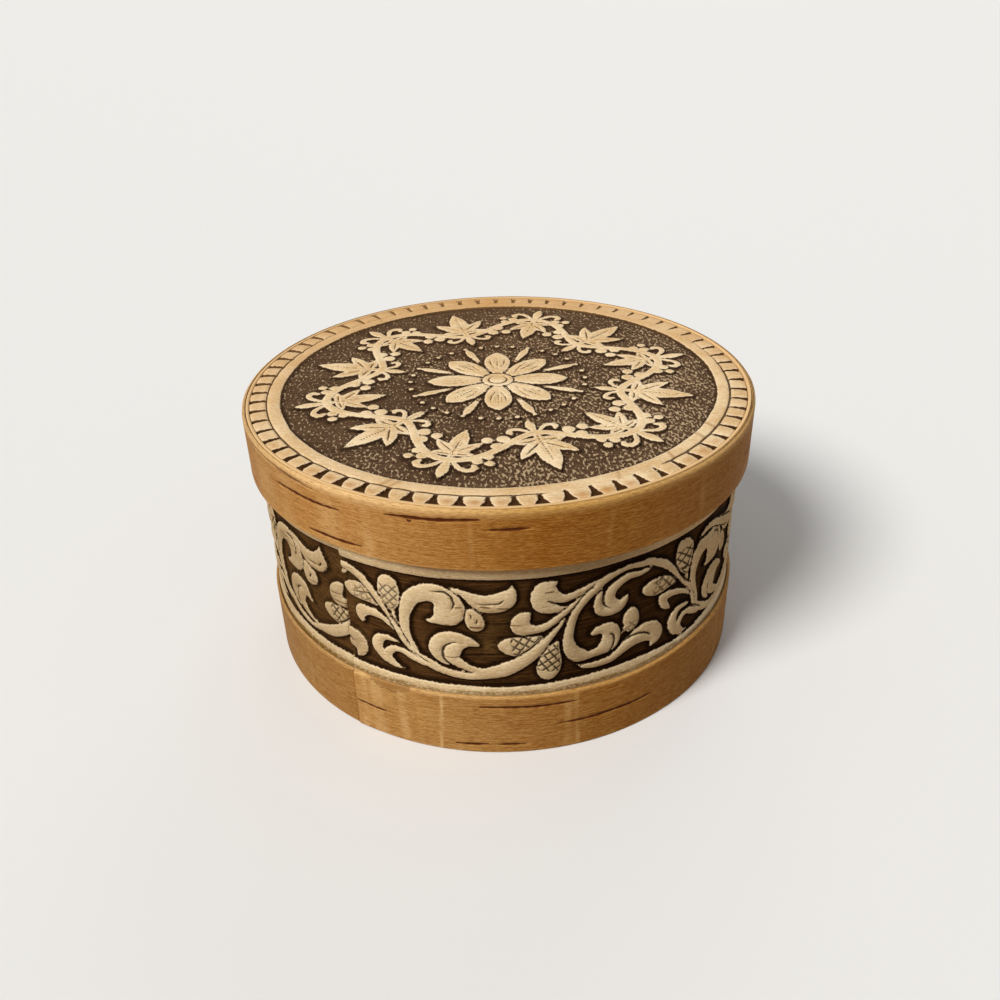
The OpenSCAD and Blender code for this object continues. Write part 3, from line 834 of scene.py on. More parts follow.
# grooves in the raised forms, as (half width, points)
scrollGrooves = [
    (0.22, [(18.4, 37.1), (19.8, 37.35), (20.8, 37.4), (21.6, 37), (22.2, 36.4), (22.4, 35.6), (22.6, 35),
            (22.4, 34.3), (22, 33.5)]),
    (0.17, [(26.4, 35.2), (28, 35.05), (29.6, 35.2), (30.6, 35.25), (31.1, 35.6), (31.6, 36.1)]),
    (0.2, [(22.7, 26.05), (21.8, 25.9), (21, 25.5), (20.35, 24.9), (19.95, 24.2), (19.85, 23.4),
           (19.9, 22.5), (20.2, 21.8), (20.8, 21.1), (21.6, 20.55), (22.6, 20), (23.6, 19.6), (24.6, 19.2),
           (25.6, 18.95)]),
    (0.13, [(25.4, 32.9), (25.6, 32.2), (25.5, 31.7)]), (0.13, [(26.7, 31.8), (26.6, 31.2), (26.5, 30.7)]),
    (0.2, [(39.4, 35.15), (40.2, 34.65), (41, 34.2), (42, 34), (43, 34.1)]),
    (0.16, [(46.6, 35.75), (47.4, 36.1), (48.2, 36.35)]),
    (0.22, [(51.5, 24.85), (52.2, 24.5), (52.5, 23.9), (52.6, 23.2), (52.55, 22.4), (52.3, 21.6),
            (52, 20.8), (51.7, 20.1)]),
    (0.24, [(54.6, 21.5), (55.6, 22.05), (56.6, 22.35), (58, 22.4), (59.4, 22), (60.4, 21.4),
            (61.2, 20.6)]),
    (0.17, [(49.95, 35.3), (50.1, 34.4), (50, 33.3), (50.05, 32.4), (50.35, 31.7), (50.9, 31.1),
            (51.6, 30.7)]),
    (0.17, [(42.9, 30.2), (43.7, 31.8), (44.8, 33.3), (46, 34.8), (47.2, 36), (48.5, 37)]),
    (0.15, [(12.1, 26.5), (12.6, 25.6), (13.1, 24.6), (13.6, 23.5)]),
    (0.17, [(13.6, 22.65), (14.6, 22), (15.6, 21.4), (16.6, 20.8), (17.1, 20.5)]),
    (0.15, [(2.1, 33.15), (3.4, 33.35), (4.8, 33.6), (5.9, 33.75)]),
]

# cones: (round end, stem end, where the hatching starts)
scrollCones = {
    "left cone": ((30.4, 25.7), (38.3, 27.2), 2.2), "low cone": ((39.5, 16.8), (41.3, 25.7), 2.0),
    "upper cone": ((9.9, 39), (10.3, 31.3), 1.9), "side cone": ((0.2, 33.9), (6.8, 32.2), 2.2),
    "small bud": ((56.6, 29.3), (56.4, 23.8), 3.0),
}


def conePlace(x, y, top, stem):
    # distance down a cone from its round end, and to its side
    (x0, y0), (x1, y1) = top, stem
    size = math.hypot(x1 - x0, y1 - y0)
    ax, ay = (x1 - x0) / size, (y1 - y0) / size
    return (x - x0) * ax + (y - y0) * ay, (y - y0) * ax - (x - x0) * ay


def scrollCarving(at, z, repeat, nudges):
    # the strokes laid over each other on the repeat, with the place down and across each cone
    margin, coneReach = 4, -0.8
    carving = blankCarving(at.shape)
    down, side, inside = np.zeros(at.shape), np.zeros(at.shape), np.full(at.shape, -1.0)
    for name, (gap, stroke) in scrollStrokes.items():
        path = np.array(stroke)
        moveAlong, moveUp = nudges.get(name, (0, 0))
        x, y = at - moveAlong, z - moveUp
        for shift in (-repeat, 0, repeat):
            if path[:, 0].max() + shift < -margin or path[:, 0].min() + shift > repeat + margin:
                continue
            here = strokeDepth(x, y, path + (shift, 0, 0))
            layOver(carving, here, gap)
            inside = np.minimum(inside, -here - gap)
            if name in scrollCones:
                top, stem, start = scrollCones[name]
                d, s = conePlace(x - shift, y, top, stem)
                near = here > coneReach
                down, side = np.where(near, d, down), np.where(near, s, side)
                inside = np.where(near, np.minimum(here, d - start), inside)
    for shift in (-repeat, 0, repeat):
        engrave(carving, at - shift, z, scrollGrooves)
    return carving | {"coneDown": down, "coneSide": side, "coneIn": inside}


def scrollPhase(run, length, look):
    # the strip was cut from a longer band, so the scroll's two ends don't match at the seam
    ends = [0, look["frontRun"], length - look["endRun"], length]
    total = look["repeat"] * look["wholeRepeats"] + look["endPhase"]
    return np.interp(run, ends, [0, look["frontRun"], total - look["endRun"], total]) % look["repeat"]


def slipped(run, z, length, look):
    # on the right the scroll's stem was pressed further left and the rest lower, and some leaves slipped
    stem = ease(*look["stemRise"], z) * ease(*look["stemEnd"], run)
    rest = look["sag"] * ease(*look["sagStart"], run) * ease(*look["sagEnd"], run) * ease(*look["sagTop"], z)
    along = run - stem * fromTable(look["stemShift"], run)
    high = z + stem * fromTable(look["stemSag"], run) + rest * (1 - stem)
    for u, v, du, dv, wide, tall in look["slips"]:
        share = np.exp(-(apart(run, u, length) / wide) ** 2 - ((z - v) / tall) ** 2)
        along, high = along - du * share, high - dv * share
    return along, high


def nudged(run, length, look):
    # how far single strokes are moved along and up at each point
    moves = {}
    for name, (start, end, du, dv, stretch) in look["nudges"].items():
        into = (run - start) % length
        there = into < end - start
        moves[name] = (du + stretch * into) * there, dv * there
    return moves


def softSpots(run, z, length, spots):
    # the strongest of the spots at each point
    total = np.zeros(run.shape)
    for u, v, wide, share in spots:
        away = apart(run, u, length)
        total = np.maximum(total, share * np.exp(-(away ** 2 + (z - v) ** 2) / wide ** 2))
    return total


def borderDepth(run, z, ring, length, look):
    # how far inside the upper or the lower border, past its wavy edge
    wave = wobble(run / ring["rOut"], look["edgeWave"])
    high, low = (fromTable(look[key], run, length) for key in ("highEdge", "lowEdge"))
    return np.maximum(z - high - wave, low + wave - z)


def wallCarving(run, z, ring, length, look):
    # the scroll, the strokes of the right side alone, and the borders
    along, high = slipped(run, z, length, look)
    phase = scrollPhase(along, length, look)
    carving = scrollCarving(phase, high, look["repeat"], nudged(run, length, look))
    for gap, stroke in look["rightStrokes"]:
        layOver(carving, strokeDepth(run, z, stroke), gap)
    thin = look["slim"] + softSpots(run, z, length, look["thins"])
    carving["depth"] = np.maximum(carving["depth"] - thin, borderDepth(run, z, ring, length, look))
    return carving


def wallGrime(run, z, turn, length, look):
    # dirt above the lower band, painted shade just below the lid, a ragged line of old glue, and dirt in the
    # seam
    clear = ease(*look["bandTop"], z)  # none behind the lower band
    grime = fromTable(look["grime"], frontAngle(turn)) * ease(*look["grimeSpan"], z) * clear
    glue = look["glueHeight"] + wobble(turn, look["glueWave"])
    # painted shade just under the lid's edge
    grime = grime + look["lidGrime"] * ease(*look["lidGrimeSpan"], z)
    grime = grime + look["glue"] * ease(glue + 0.1, glue - 0.25, z) * clear
    return np.maximum(grime, look["seamGrime"] * ease(length - 0.5, length - 0.1, run))


def makeWall(look):
    # wall radius - ground depth where nothing is raised - rounding towards raised edges - grooves
    ring = rings["embossed_wall"]
    reach = look["reach"]
    fine = np.arange(*look["fineRows"], look["rowStep"])
    rows = np.concatenate([look["rowsBelow"], fine, look["rowsAbove"]])
    length, run, z, r0, outer, uv = stripGrid(ring, look, rows)

    def shape(run, z):
        return wallCarving(run, z, ring, length, look)

    first = 4 + len(look["rowsBelow"])  # past the four points of the section's foot
    inner = slice(2, -2), slice(first, first + len(fine))  # away from the seam and the strip's edges
    run[inner], z[inner] = settle(run[inner], z[inner], shape, reach)
    turn = turnOf(run, ring, look)
    angle = frontAngle(turn)
    carving = shape(run, z)
    depth = carving["depth"]
    raised = ease(-2 * reach, 0, depth)
    dome = look["dome"] * np.exp(-np.clip(depth, 0, None) / look["domeRun"])
    down, side, pitch = carving["coneDown"], carving["coneSide"], wallFinish["hatchPitch"]
    coneIn = np.minimum(carving["coneIn"], fromTable(look["hatchFade"], run, length))
    scale = np.abs(np.sin(math.pi * (down + side) / pitch) * np.sin(math.pi * (down - side) / pitch)) ** 0.5
    hatched = ease(0, look["hatchEdge"], coneIn) * (1 - scale)
    end = ease(length - look["endDipRun"], length, run)
    rise = look["lapRise"] * np.exp(-run / look["lapRun"]) - look["endDip"] * end
    rise = rise - look["groundDepth"] * (1 - raised) - dome * raised
    rise = rise - (look["grooveDepth"] * cutOf(carving) + look["hatchDepth"] * hatched) * raised
    rise = rise + wobble(turn + z / look["waveLean"], look["wave"])
    r = r0 + outer * np.minimum(rise, look["mostRise"])
    dashOff, dashHalf = dashMarks(run, z, look["dashes"], length)
    marks = {
        "relief": np.where(outer > 0, np.clip(depth, -2, 2), 2.0),
        "grooveOff": carving["off"], "grooveHalf": carving["half"], "dashOff": dashOff, "dashHalf": dashHalf,
        "coneDown": down, "coneSide": side, "coneIn": coneIn,
        # dirt and glue, with painted shade just under the lid
        "grime": wallGrime(run, z, turn, length, look) * outer,
        # painted shade by angle round the box, weaker low down
        "paintedShade": fromTable(look["paintedGreyShade"], angle) * (1 - look["greyShadeLess"] * ease(*look["greyShadeSpan"], z)),
        "stained": fromTable(look["stained"], angle),
        "rubbed": softSpots(run, z, length, look["rubbed"]) * outer,
        # painted light on the low border at the right
        "pale": fromTable(look["paintedLightBorder"], angle) * ease(*look["paintedLightSpan"], z) * outer,
    }
    piece = hoopMesh("embossed_wall_bark", onRing(r, turn, z), uv, marks)
    finishPiece(piece, "wall", "box", "embossed_wall")


makeWall(wallLook)


# Plain bands. Dashes are (middle angle, height, length, half width, tilt), streaks (angle, half width,
# share), and the other tables go by angle from the front

bandLook = {
    "rowStep": 0.33, "lowRound": 0.25, "lowMargin": 0.5, "topMargin": 0.3, "lapRun": 5.0, "endDip": 0.2,
    "dashDepth": 0.15, "flakeDepth": 0.2,
    "wave": (0.06, 7, 18), "topWave": (1, 11, 14), "lowWave": (1, 12, 14),
    "wornLow": 0.3, "wornLowSpan": (0.7, 0.1), "wornFull": 0.1, "flakeShare": 0.75, "seamGrime": 0.75,
    "tearGrime": 0.55,
}
lowerBandLook = bandLook | {
    "seam": -34.8, "columns": 700, "topRound": 0.5, "lapRise": 0.3, "dashBold": 1.8,
    "worn": 0.5, "wornRun": 0.7,
    "dashes": [
        (4.4, 11.65, 19.2, 0.2, -0.3), (-30.9, 6.45, 7.2, 0.17, -0.3), (22, 6.4, 21.2, 0.2, 0.05),
        (-7.7, 2.1, 7.0, 0.18, 0.1), (0.9, 2.1, 5.8, 0.16, -0.1), (61.5, 1.4, 5, 0.15, 0),
        (95, 8, 12, 0.19, 0.2), (118, 3.5, 16, 0.2, -0.2), (149, 10.5, 9, 0.18, 0.1),
        (176, 6, 20, 0.2, 0.1), (-152, 2.5, 11, 0.18, 0.1), (-128, 9.5, 17, 0.2, -0.2),
        (-98, 4.8, 8, 0.18, 0.1), (-74, 11.2, 13, 0.18, 0.2)],
    "streaks": [
        (-32.6, 0.7, 0.4), (-29, 1.5, 0.45), (-22.8, 0.9, 0.55), (-14.1, 0.34, 1), (12.6, 0.8, 0.5),
        (15, 0.4, 0.65), (59.6, 0.6, 0.4), (-51.5, 0.6, 0.3), (88, 1.2, 0.25), (131, 0.5, 0.25),
        (170, 1.5, 0.2), (-140, 0.6, 0.25), (-95, 1.2, 0.2)],
    "flake": (-25.6, 4.6, 1.7), "waveTop": 0.16, "waveLow": 0.0,
    # painted shade by angle round the box: the first table greys towards the left side, the next browns
    # towards the right of the front
    "paintedGreyShade": [(-180, 0.2), (-70, 1), (-55, 0.75), (-42, 0.55), (-35.1, 0.4), (-34.8, 0), (180, 0.2)],
    "paintedShade": [
        (-180, 0.3), (-60, 0.15), (-35.5, 0.25), (-34.5, 0), (-10, 0.15), (5, 0.5), (20, 0.75), (45, 0.7),
        (60, 0.5), (100, 0.4), (180, 0.25)],
}
lidBandLook = bandLook | {
    "seam": 152.0, "columns": 760, "topRound": 0.78, "lapRise": 0.0, "dashBold": 1.7,
    "worn": 1.0, "wornRun": 2.3,
    "dashes": [
        (-41.6, 51.6, 17.8, 0.21, 0.3), (-13, 53.7, 17, 0.24, 0.6), (-17.2, 52.75, 0.7, 0.14, 0),
        (1.3, 52.1, 7.2, 0.2, 0.05), (-34.4, 45.3, 12.9, 0.22, 0.2), (-69, 45.1, 10, 0.17, 0),
        (-56, 54.75, 26, 0.07, 0.1), (-44, 54.3, 12, 0.06, -0.1), (-66, 53.6, 9, 0.06, 0.1),
        (70, 49, 14, 0.2, 0.2), (98, 46, 9, 0.17, -0.1), (126, 52, 17, 0.2, 0.2), (171, 47.5, 12, 0.2, 0.1),
        (-160, 51.5, 20, 0.2, -0.2), (-131, 46.5, 8, 0.17, 0), (-104, 50.4, 15, 0.2, 0.2)],
    "streaks": [
        (-57, 4.0, 0.3), (-47.8, 2.2, 0.25), (-35, 2.4, 0.35), (-26.4, 0.9, 0.35), (-5.5, 0.5, 0.2),
        (20.6, 0.4, 0.25), (43, 0.8, 0.3), (100, 1.5, 0.2), (140, 0.8, 0.2), (-170, 1.2, 0.2),
        (-120, 1.6, 0.2), (-85, 1.5, 0.2)],
    "flake": None, "waveTop": 0.0, "waveLow": 0.12,
    # painted shade by angle round the box: the first table greys towards the left side, the next browns
    # towards the right of the front
    "paintedGreyShade": [(-180, 0.2), (-70, 0.6), (-55, 0.45), (-42, 0.1), (-30, 0), (180, 0.2)],
    "paintedShade": [
        (-180, 0.3), (-60, 0.05), (-25, 0), (-12, 0.3), (0, 0.75), (8, 1), (25, 0.8), (35, 0.6), (55, 0.5),
        (100, 0.4), (180, 0.25)],
}


def paleStreaks(run, z, length, runAt, streaks):
    # upright scratches, slightly bent, that come and go with the height
    pale = np.zeros(run.shape)
    for at, half, share in streaks:
        bend = 0.3 * np.sin(z * 0.2 + at)
        fade = 0.5 + 0.5 * np.sin(z * 0.6 + at * 1.7)
        across = (apart(run, runAt(at), length) - bend) / half
        pale = np.maximum(pale, share * (0.4 + 0.6 * fade) * np.exp(-across ** 4))
    return pale


def tornFlake(run, z, high, runAt, flake):
    # a shallow scar below the upper edge, round below, with a ragged rim: the scar, and its rim
    at, half, tall = flake
    a = (run - runAt(at)) / half
    torn = 1 - a ** 2 - (high - z) / tall + 0.1 * np.sin(run * 2.3) + 0.09 * np.sin(run * 6.1 + z * 2)
    near = np.abs(a) < 1.2
    return ease(-0.12, 0.12, torn) * near, np.exp(-((torn + 0.03) / 0.1) ** 2) * near


def makeBand(name, node, finish, body, look):
    # ring radius + a lap that fades from the seam - lenticels and flakes, between slightly wavy edges
    ring = rings[node]
    low, high = ring["low"], ring["high"]
    lowest, highest = low + look["lowMargin"], high - look["topRound"] - look["topMargin"]
    rows = np.linspace(lowest, highest, int((high - low) / look["rowStep"]))
    length, run, z, r0, outer, uv = stripGrid(ring, look, rows)
    turn = turnOf(run, ring, look)
    arc = ring["rOut"] * math.pi / 180

    def runAt(angle):
        return (angle - look["seam"]) * arc % length

    bold = look["dashBold"]
    dashes = [(runAt(a), height, size, bold * half, tilt) for a, height, size, half, tilt in look["dashes"]]
    dashOff, dashHalf = dashMarks(run, z, dashes, length)
    dash = ease(0.2, -0.1, np.abs(dashOff) - dashHalf) * outer
    pale = paleStreaks(run, z, length, runAt, look["streaks"])
    flake = tear = np.zeros(run.shape)
    if look["flake"]:
        flake, tear = tornFlake(run, z, high, runAt, look["flake"])
    end = ease(length - 0.5, length - 0.05, run)
    lap = look["lapRise"] * np.exp(-run / look["lapRun"]) - look["endDip"] * end
    rise = lap - look["dashDepth"] * dash - look["flakeDepth"] * flake
    rise = rise + wobble(turn, look["wave"]) - look["wave"][0]
    r = r0 + outer * np.minimum(rise, look["lapRise"])
    full, (lowStart, lowFull) = high - look["wornFull"], look["wornLowSpan"]
    worn = look["worn"] * ease(full - look["wornRun"], full, z)
    worn = worn + look["wornLow"] * ease(low + lowStart, low + lowFull, z)
    share = (z - low) / (high - low)
    z = z + ease(0.5, 1, share) * look["waveTop"] * (wobble(turn, look["topWave"]) - 1)
    z = z + ease(0.5, 0, share) * look["waveLow"] * (wobble(turn, look["lowWave"]) + 1) * 0.5
    angle = frontAngle(turn)
    marks = {
        "dashOff": dashOff, "dashHalf": np.where(outer > 0, dashHalf, -1), "pale": np.maximum(pale, worn),
        "flake": look["flakeShare"] * flake,
        "grime": np.maximum(look["seamGrime"] * end, look["tearGrime"] * tear) * (outer > 0),
        # painted shade by angle round the box
        "paintedShade": fromTable(look["paintedShade"], angle), "paintedGreyShade": fromTable(look["paintedGreyShade"], angle),
    }
    piece = hoopMesh(name, onRing(r, turn, z), uv, marks)
    finishPiece(piece, finish, body, node)


makeBand("lower_band_bark", "lower_band", "lowerBand", "box", lowerBandLook)
makeBand("lid_band_bark", "lid_band", "lidBand", "lid", lidBandLook)


# Plain hoops of the inside: the sleeve and the lid's inner hoop

hoopLook = {
    "columns": 240, "rows": 8, "margin": 0.6, "topRound": 0.2, "lowRound": 0.15,
    "seamGap": 0.12, "slack": 0.03, "seamGrime": 0.8, "paleTop": 0.8, "paleStart": 0.35, "paleFull": 0.1,
}


def makeHoop(name, node, body, look):
    # ring radius, slightly less outside, with a fine open seam and a pale cut edge at the top
    ring = rings[node]
    high = ring["high"]
    rows = np.linspace(ring["low"] + look["margin"], high - look["margin"], look["rows"])
    length, run, z, r0, outer, uv = stripGrid(ring, look, rows)
    end = ease(length - 0.25, length - 0.05, run)
    r = r0 + look["seamGap"] * end * (r0 < ring["rIn"] + 0.05) - look["slack"] * outer
    pale = look["paleTop"] * ease(high - look["paleStart"], high - look["paleFull"], z)
    points = onRing(r, turnOf(run, ring, look), z)
    piece = hoopMesh(name, points, uv, {"grime": look["seamGrime"] * end, "pale": pale})
    finishPiece(piece, "lining", body, node)


makeHoop("inner_sleeve_bark", "inner_sleeve", "box", hoopLook | {"seam": 95.0})
makeHoop("lid_inner_hoop_bark", "lid_inner_hoop", "lid", hoopLook | {"seam": -120.0})


# Discs: a square grid bent to a disc, so that each square ring of the grid is a circle

def discGrid(radii):
    # square place (a, b) goes to radius max(|a|, |b|) and angle pi/4 times the smaller over the larger
    n = len(radii) - 1
    t = np.arange(-n, n + 1)
    a, b = (g.astype(float) for g in np.meshgrid(t, t, indexing="ij"))
    wide = np.abs(a) > np.abs(b)
    with np.errstate(divide="ignore", invalid="ignore"):
        angle = np.where(wide, math.pi / 4 * b / a, math.pi / 2 - math.pi / 4 * a / b)
    angle[n, n] = 0
    signed = np.where(wide, a, b)
    r = np.sign(signed) * np.interp(np.abs(signed), np.arange(n + 1), radii)
    return r * np.cos(angle), r * np.sin(angle)


def discMesh(name, x, y, top, low, marks):
    # the grid as the top face, a wall down from its edge and a fan across the underside
    n = x.shape[0]
    index = np.arange(n * n).reshape(n, n)
    quads = np.stack([index[:-1, :-1], index[1:, :-1], index[1:, 1:], index[:-1, 1:]], -1).reshape(-1, 4)
    loop = np.concatenate([index[:-1, 0], index[-1, :-1], index[:0:-1, -1], index[0, :0:-1]])
    foot = n * n + np.arange(len(loop))
    middle = n * n + len(loop)
    wall = np.stack([foot, np.roll(foot, -1), np.roll(loop, -1), loop], -1)
    under = np.stack([np.full(len(loop), middle), np.roll(foot, -1), foot], -1)
    flat = np.stack([x, y, top], -1).reshape(-1, 3)
    points = np.vstack([flat, np.column_stack([flat[loop, :2], np.full(len(loop), low)]), [[0, 0, low]]])
    faces, faceUv = splitQuads(quads, points[quads.ravel(), :2], top)
    uv = np.vstack([faceUv, points[wall.ravel(), :2], points[under.ravel(), :2]])
    extra = {key: np.concatenate([v.ravel(), v.ravel()[loop], [v.flat[0]]]) for key, v in marks.items()}
    return layMesh(name, points, [faces, wall, under], uv, extra)


lidLook = {
    "rings": 154, "reach": 0.17, "notches": 69, "notchStart": 0.5, "notchLength": 3.4, "plainRing": 2.7,
    "fieldDepth": 0.5, "dome": 0.14, "domeRun": 0.6, "grooveDepth": 0.3, "lineHalf": 0.22,
    "edgeDrop": 0.14, "edgeRun": 0.9, "wave": (0.02, 25, 20), "waveLean": 30,
    "fieldWave": (0.1, 21, 30), "lineWave": (0.05, 24, 12), "lineFaint": (0.15, 23, 17),
    # by angle: notch width at the edge, half way and at the inner end, and how strong the ring's line is
    "notchForm": [
        (-180, 1.3, 1.0, 0.7, 0.8), (-135, 1.2, 0.95, 0.65, 0.8), (-90, 1.4, 1.1, 0.85, 1.0),
        (-50, 1.6, 1.15, 0.9, 1.1), (-30, 2.4, 1.05, 0.75, 1.1), (-10, 3.0, 1.0, 0.65, 1.0),
        (8, 2.9, 0.95, 0.6, 0.7), (12, 2.8, 0.95, 0.55, -1.0), (28, 2.2, 0.9, 0.5, -1.0),
        (35, 1.6, 0.65, 0.3, -1.0), (38, 1.7, 0.8, 0.5, 1.0), (60, 1.7, 0.9, 0.65, 1.0),
        (90, 1.5, 0.85, 0.6, 0.8), (112, 1.6, 0.85, 0.45, 0.5), (118, 1.6, 0.85, 0.4, -1.0),
        (140, 1.5, 0.9, 0.5, -1.0), (160, 1.4, 0.95, 0.6, 0.5), (180, 1.3, 1.0, 0.7, 0.6)],
    "petals": 8, "button": 3.2, "buttonRing": 0.6, "buttonGap": 0.4, "ringHalf": 0.16,
    "beads": 32, "beadR": 18.4, "beadSize": 0.55,
    "waves": 6, "vineInset": 14.2, "vineStart": 20, "swing": 5.0, "vineWidth": 0.9, "leafRoot": 0.4,
    "leafIn": 1.15, "leafOut": 1.4, "palmOut": 1.0, "palmIn": 0.85, "berryDrop": 0.3,
    "ringTone": [
        (-180, 0.8), (-150, 0.65), (-110, 0.5), (-75, 0.35), (-50, 0.15), (-30, 0.28), (0, 0.35),
        (30, 0.18), (50, 0.15), (90, 0.25), (120, 0.45), (180, 0.8)],
    "ringOnField": 0.3,
    # dark marks across the plain ring (angle, share)
    "ringMarks": [
        (26, 0.5), (41, 0.6), (53, 0.65), (59, 0.65), (-25, 0.6), (-23, 0.6), (-143, 0.5), (-178, 0.4)],
    "markLean": 0.45, "markMiddle": 1.3, "markHalf": 0.4,
    "smudgeIn": 1.1, "smudgeTall": 0.9, "smudgeWide": 0.6, "smudge": 0.18, "frontSmudge": 0.4,
    "frontLess": 0.6, "fleckLean": 0.035, "noFlecks": -0.4,
}


def bothSides(line):
    # a line and its mirror image across the X axis
    return line, [(x, -y, *half) for x, y, *half in line]


# strokes along +X from the middle of the lid (one petal), from the root of a leaf, and of a palmette
petalStrokes = [
    (0.0, [(9.5, 3.6, 0.15), (12.2, 4.9, 0.55), (14.6, 5.9, 0.75), (16.8, 6.9, 0.15)]),
    (0.3, [(3.6, 0, 0.9), (5.6, 0, 1.9), (8.4, 0, 2.75), (11, 0, 2.6), (13, 0, 1.5), (14.6, 0, 0.15)]),
]
petalVeins = [(0.17, [(4.4, 0), (8, 0), (12.8, 0)])]
petalVeins += [(0.15, line) for line in bothSides([(6, 0.5), (8.6, 1.4), (10.8, 1.6)])]
leafStrokes = [
    [(-0.6, 0, 0.5), (1.5, 0, 0.6), (4.2, 0, 1.5), (6.6, 0, 1.45), (8.6, 0, 0.8), (10.2, 0, 0.12)],
    *bothSides([(2.4, 0.2, 0.6), (3.6, 1.5, 1.1), (5, 2.9, 0.75), (6.2, 3.9, 0.12)]),
    *bothSides([(1.6, 0.2, 0.5), (1.9, 1.9, 0.8), (2, 3.6, 0.12)]),
]
leafVeins = [(0.15, [(0.6, 0), (4, 0), (8.4, 0)])]
leafVeins += [(0.14, line) for line in bothSides([(2.6, 0.3), (3.8, 1.5), (5.2, 2.9)])]
leafVeins += [(0.13, line) for line in bothSides([(1.7, 0.4), (1.9, 1.5), (1.9, 2.6)])]
palmetteStrokes = [
    [(0.3, 0.4, 0.3), (1.8, 1.6, 0.5), (3.2, 3.0, 0.6), (3.5, 4.6, 0.65), (2.5, 5.5, 0.75),
     (1.6, 5.0, 0.5)],
    [(0.2, 0, 0.4), (2.2, 0, 0.8), (4.2, 0, 1.15), (5.8, 0, 0.7), (7, 0, 0.12)]]
berrySpots = [(-0.2, 4.6, 0.95), (1.5, 5.9, 0.9), (-0.5, 6.7, 0.85)]


def fold(x, y, count, offset=0.0):
    # turns every point into the first of equal sectors, centred on +X
    step = 2 * math.pi / count
    angle = np.arctan2(y, x) - offset
    r = np.hypot(x, y)
    angle = (angle + step / 2) % step - step / 2
    return r * np.cos(angle), r * np.sin(angle)


def vineFolds(x, y, fieldR, look):
    # place along and beside each leaf: crests hold leaves that point inwards, troughs outwards
    vineR = fieldR - look["vineInset"]
    for side, leaf, palm in ((1, look["leafIn"], look["palmOut"]), (-1, look["leafOut"], look["palmIn"])):
        fx, fy = fold(x, y, look["waves"], side * math.pi / 2 / look["waves"])
        along = side * (vineR + side * (look["swing"] - look["leafRoot"]) - fx)
        yield leaf, along / leaf, fy / leaf, palm, -along / palm, np.abs(fy) / palm


def lidCarving(x, y, fieldR, look):
    # a rosette in the middle, and a waving vine with a lobed leaf in each bend and a palmette behind it
    r, angle = np.hypot(x, y), np.arctan2(y, x)
    swing, waves = look["swing"], look["waves"]
    carving = blankCarving(x.shape)
    off = r - fieldR + look["vineInset"] - swing * np.sin(waves * angle)
    lean = np.hypot(1, waves * swing * np.cos(waves * angle) / np.maximum(r, 1))
    vine = look["vineWidth"] - np.abs(off) / lean
    layOver(carving, np.where(r > look["vineStart"], vine, outside), 0)
    for leaf, along, aside, palm, behind, beside in vineFolds(x, y, fieldR, look):
        for stroke in palmetteStrokes:
            layOver(carving, palm * strokeDepth(behind, beside, stroke), 0)
        for stroke in leafStrokes:
            layOver(carving, leaf * strokeDepth(along, aside, stroke), 0)
        for down, out, berry in berrySpots:
            away = np.hypot(along - down - look["berryDrop"], np.abs(aside) - out)
            layOver(carving, leaf * (berry - away), 0)
        engrave(carving, along, aside, leafVeins)
    fx, fy = fold(x, y, look["beads"])
    layOver(carving, look["beadSize"] - np.hypot(fx - look["beadR"], fy), 0)
    fx, fy = fold(x, y, look["petals"])
    for gap, stroke in petalStrokes:
        layOver(carving, strokeDepth(fx, np.abs(fy), stroke), gap)
    engrave(carving, fx, fy, petalVeins)
    layOver(carving, look["button"] - r, look["buttonGap"])
    near = r < look["button"]
    addGroove(carving, near, r[near] - look["button"] * look["buttonRing"], look["ringHalf"])
    return carving


def notchDepth(x, y, edge, look):
    # depth inside the notches: a mouth at the edge narrows to a slot, and the slot to its inner end,
    # each a little unlike its neighbours
    r, turn = np.hypot(x, y), np.arctan2(x, -y)
    angles, *form = zip(*look["notchForm"])
    mouth, slot, tip, line = (np.interp(np.degrees(turn), angles, f) for f in form)
    step = 2 * math.pi / look["notches"]
    place = turn / step - look["notchStart"]
    which = np.round(place) % look["notches"]
    vary, other = np.sin(which * 12.9898), np.sin(which * 7.233 + 1)  # each notch's own, -1 to 1
    aside = (place - np.round(place) + 0.04 * other) * step * r
    t = (edge - r) / (look["notchLength"] + 0.15 * vary)
    width = tip + (slot - tip) * np.clip((1 - t) / 0.55, 0, 1)
    width = width + (mouth - slot) * np.clip(1 - t / 0.6, 0, 1) ** 1.8
    width = width * (1 + 0.12 * vary) + 0.08 * np.sin(r * 5 + which) * other
    return np.minimum(width / 2 - np.abs(aside), (1 - t) * look["notchLength"]), line


def lidShape(x, y, edge, lineR, fieldR, look):
    # the field's design inside the plain ring, the notches, and the line between the ring and the teeth
    r, turn = np.hypot(x, y), np.arctan2(x, -y)
    carving = lidCarving(x, y, fieldR, look)
    notch, line = notchDepth(x, y, edge, look)
    plain = r - fieldR - wobble(turn, look["fieldWave"])
    carving["depth"] = np.minimum(np.maximum(carving["depth"], plain), -notch)
    near = np.abs(r - lineR) < 0.6
    off = r - lineR - wobble(turn, look["lineWave"])
    faint = line * (0.85 + wobble(turn, look["lineFaint"]))
    addGroove(carving, near, off[near], look["lineHalf"] * faint[near])
    return carving


def toothMarks(r, turn, edge, front, look):
    # a brown smudge in the middle of each tooth, stronger at the front
    teeth = turn * look["notches"] / 2 / math.pi
    tooth = np.round(teeth)
    middle = (teeth - tooth) * 2  # -1 to 1 across a tooth
    tall, wide = look["smudgeTall"], look["smudgeWide"]
    smudge = np.exp(-((r - edge + look["smudgeIn"]) / tall) ** 2 - (middle / wide) ** 2)
    return smudge * (look["smudge"] + look["frontSmudge"] * front) * (1 + 0.5 * np.sin(tooth * 5.1))


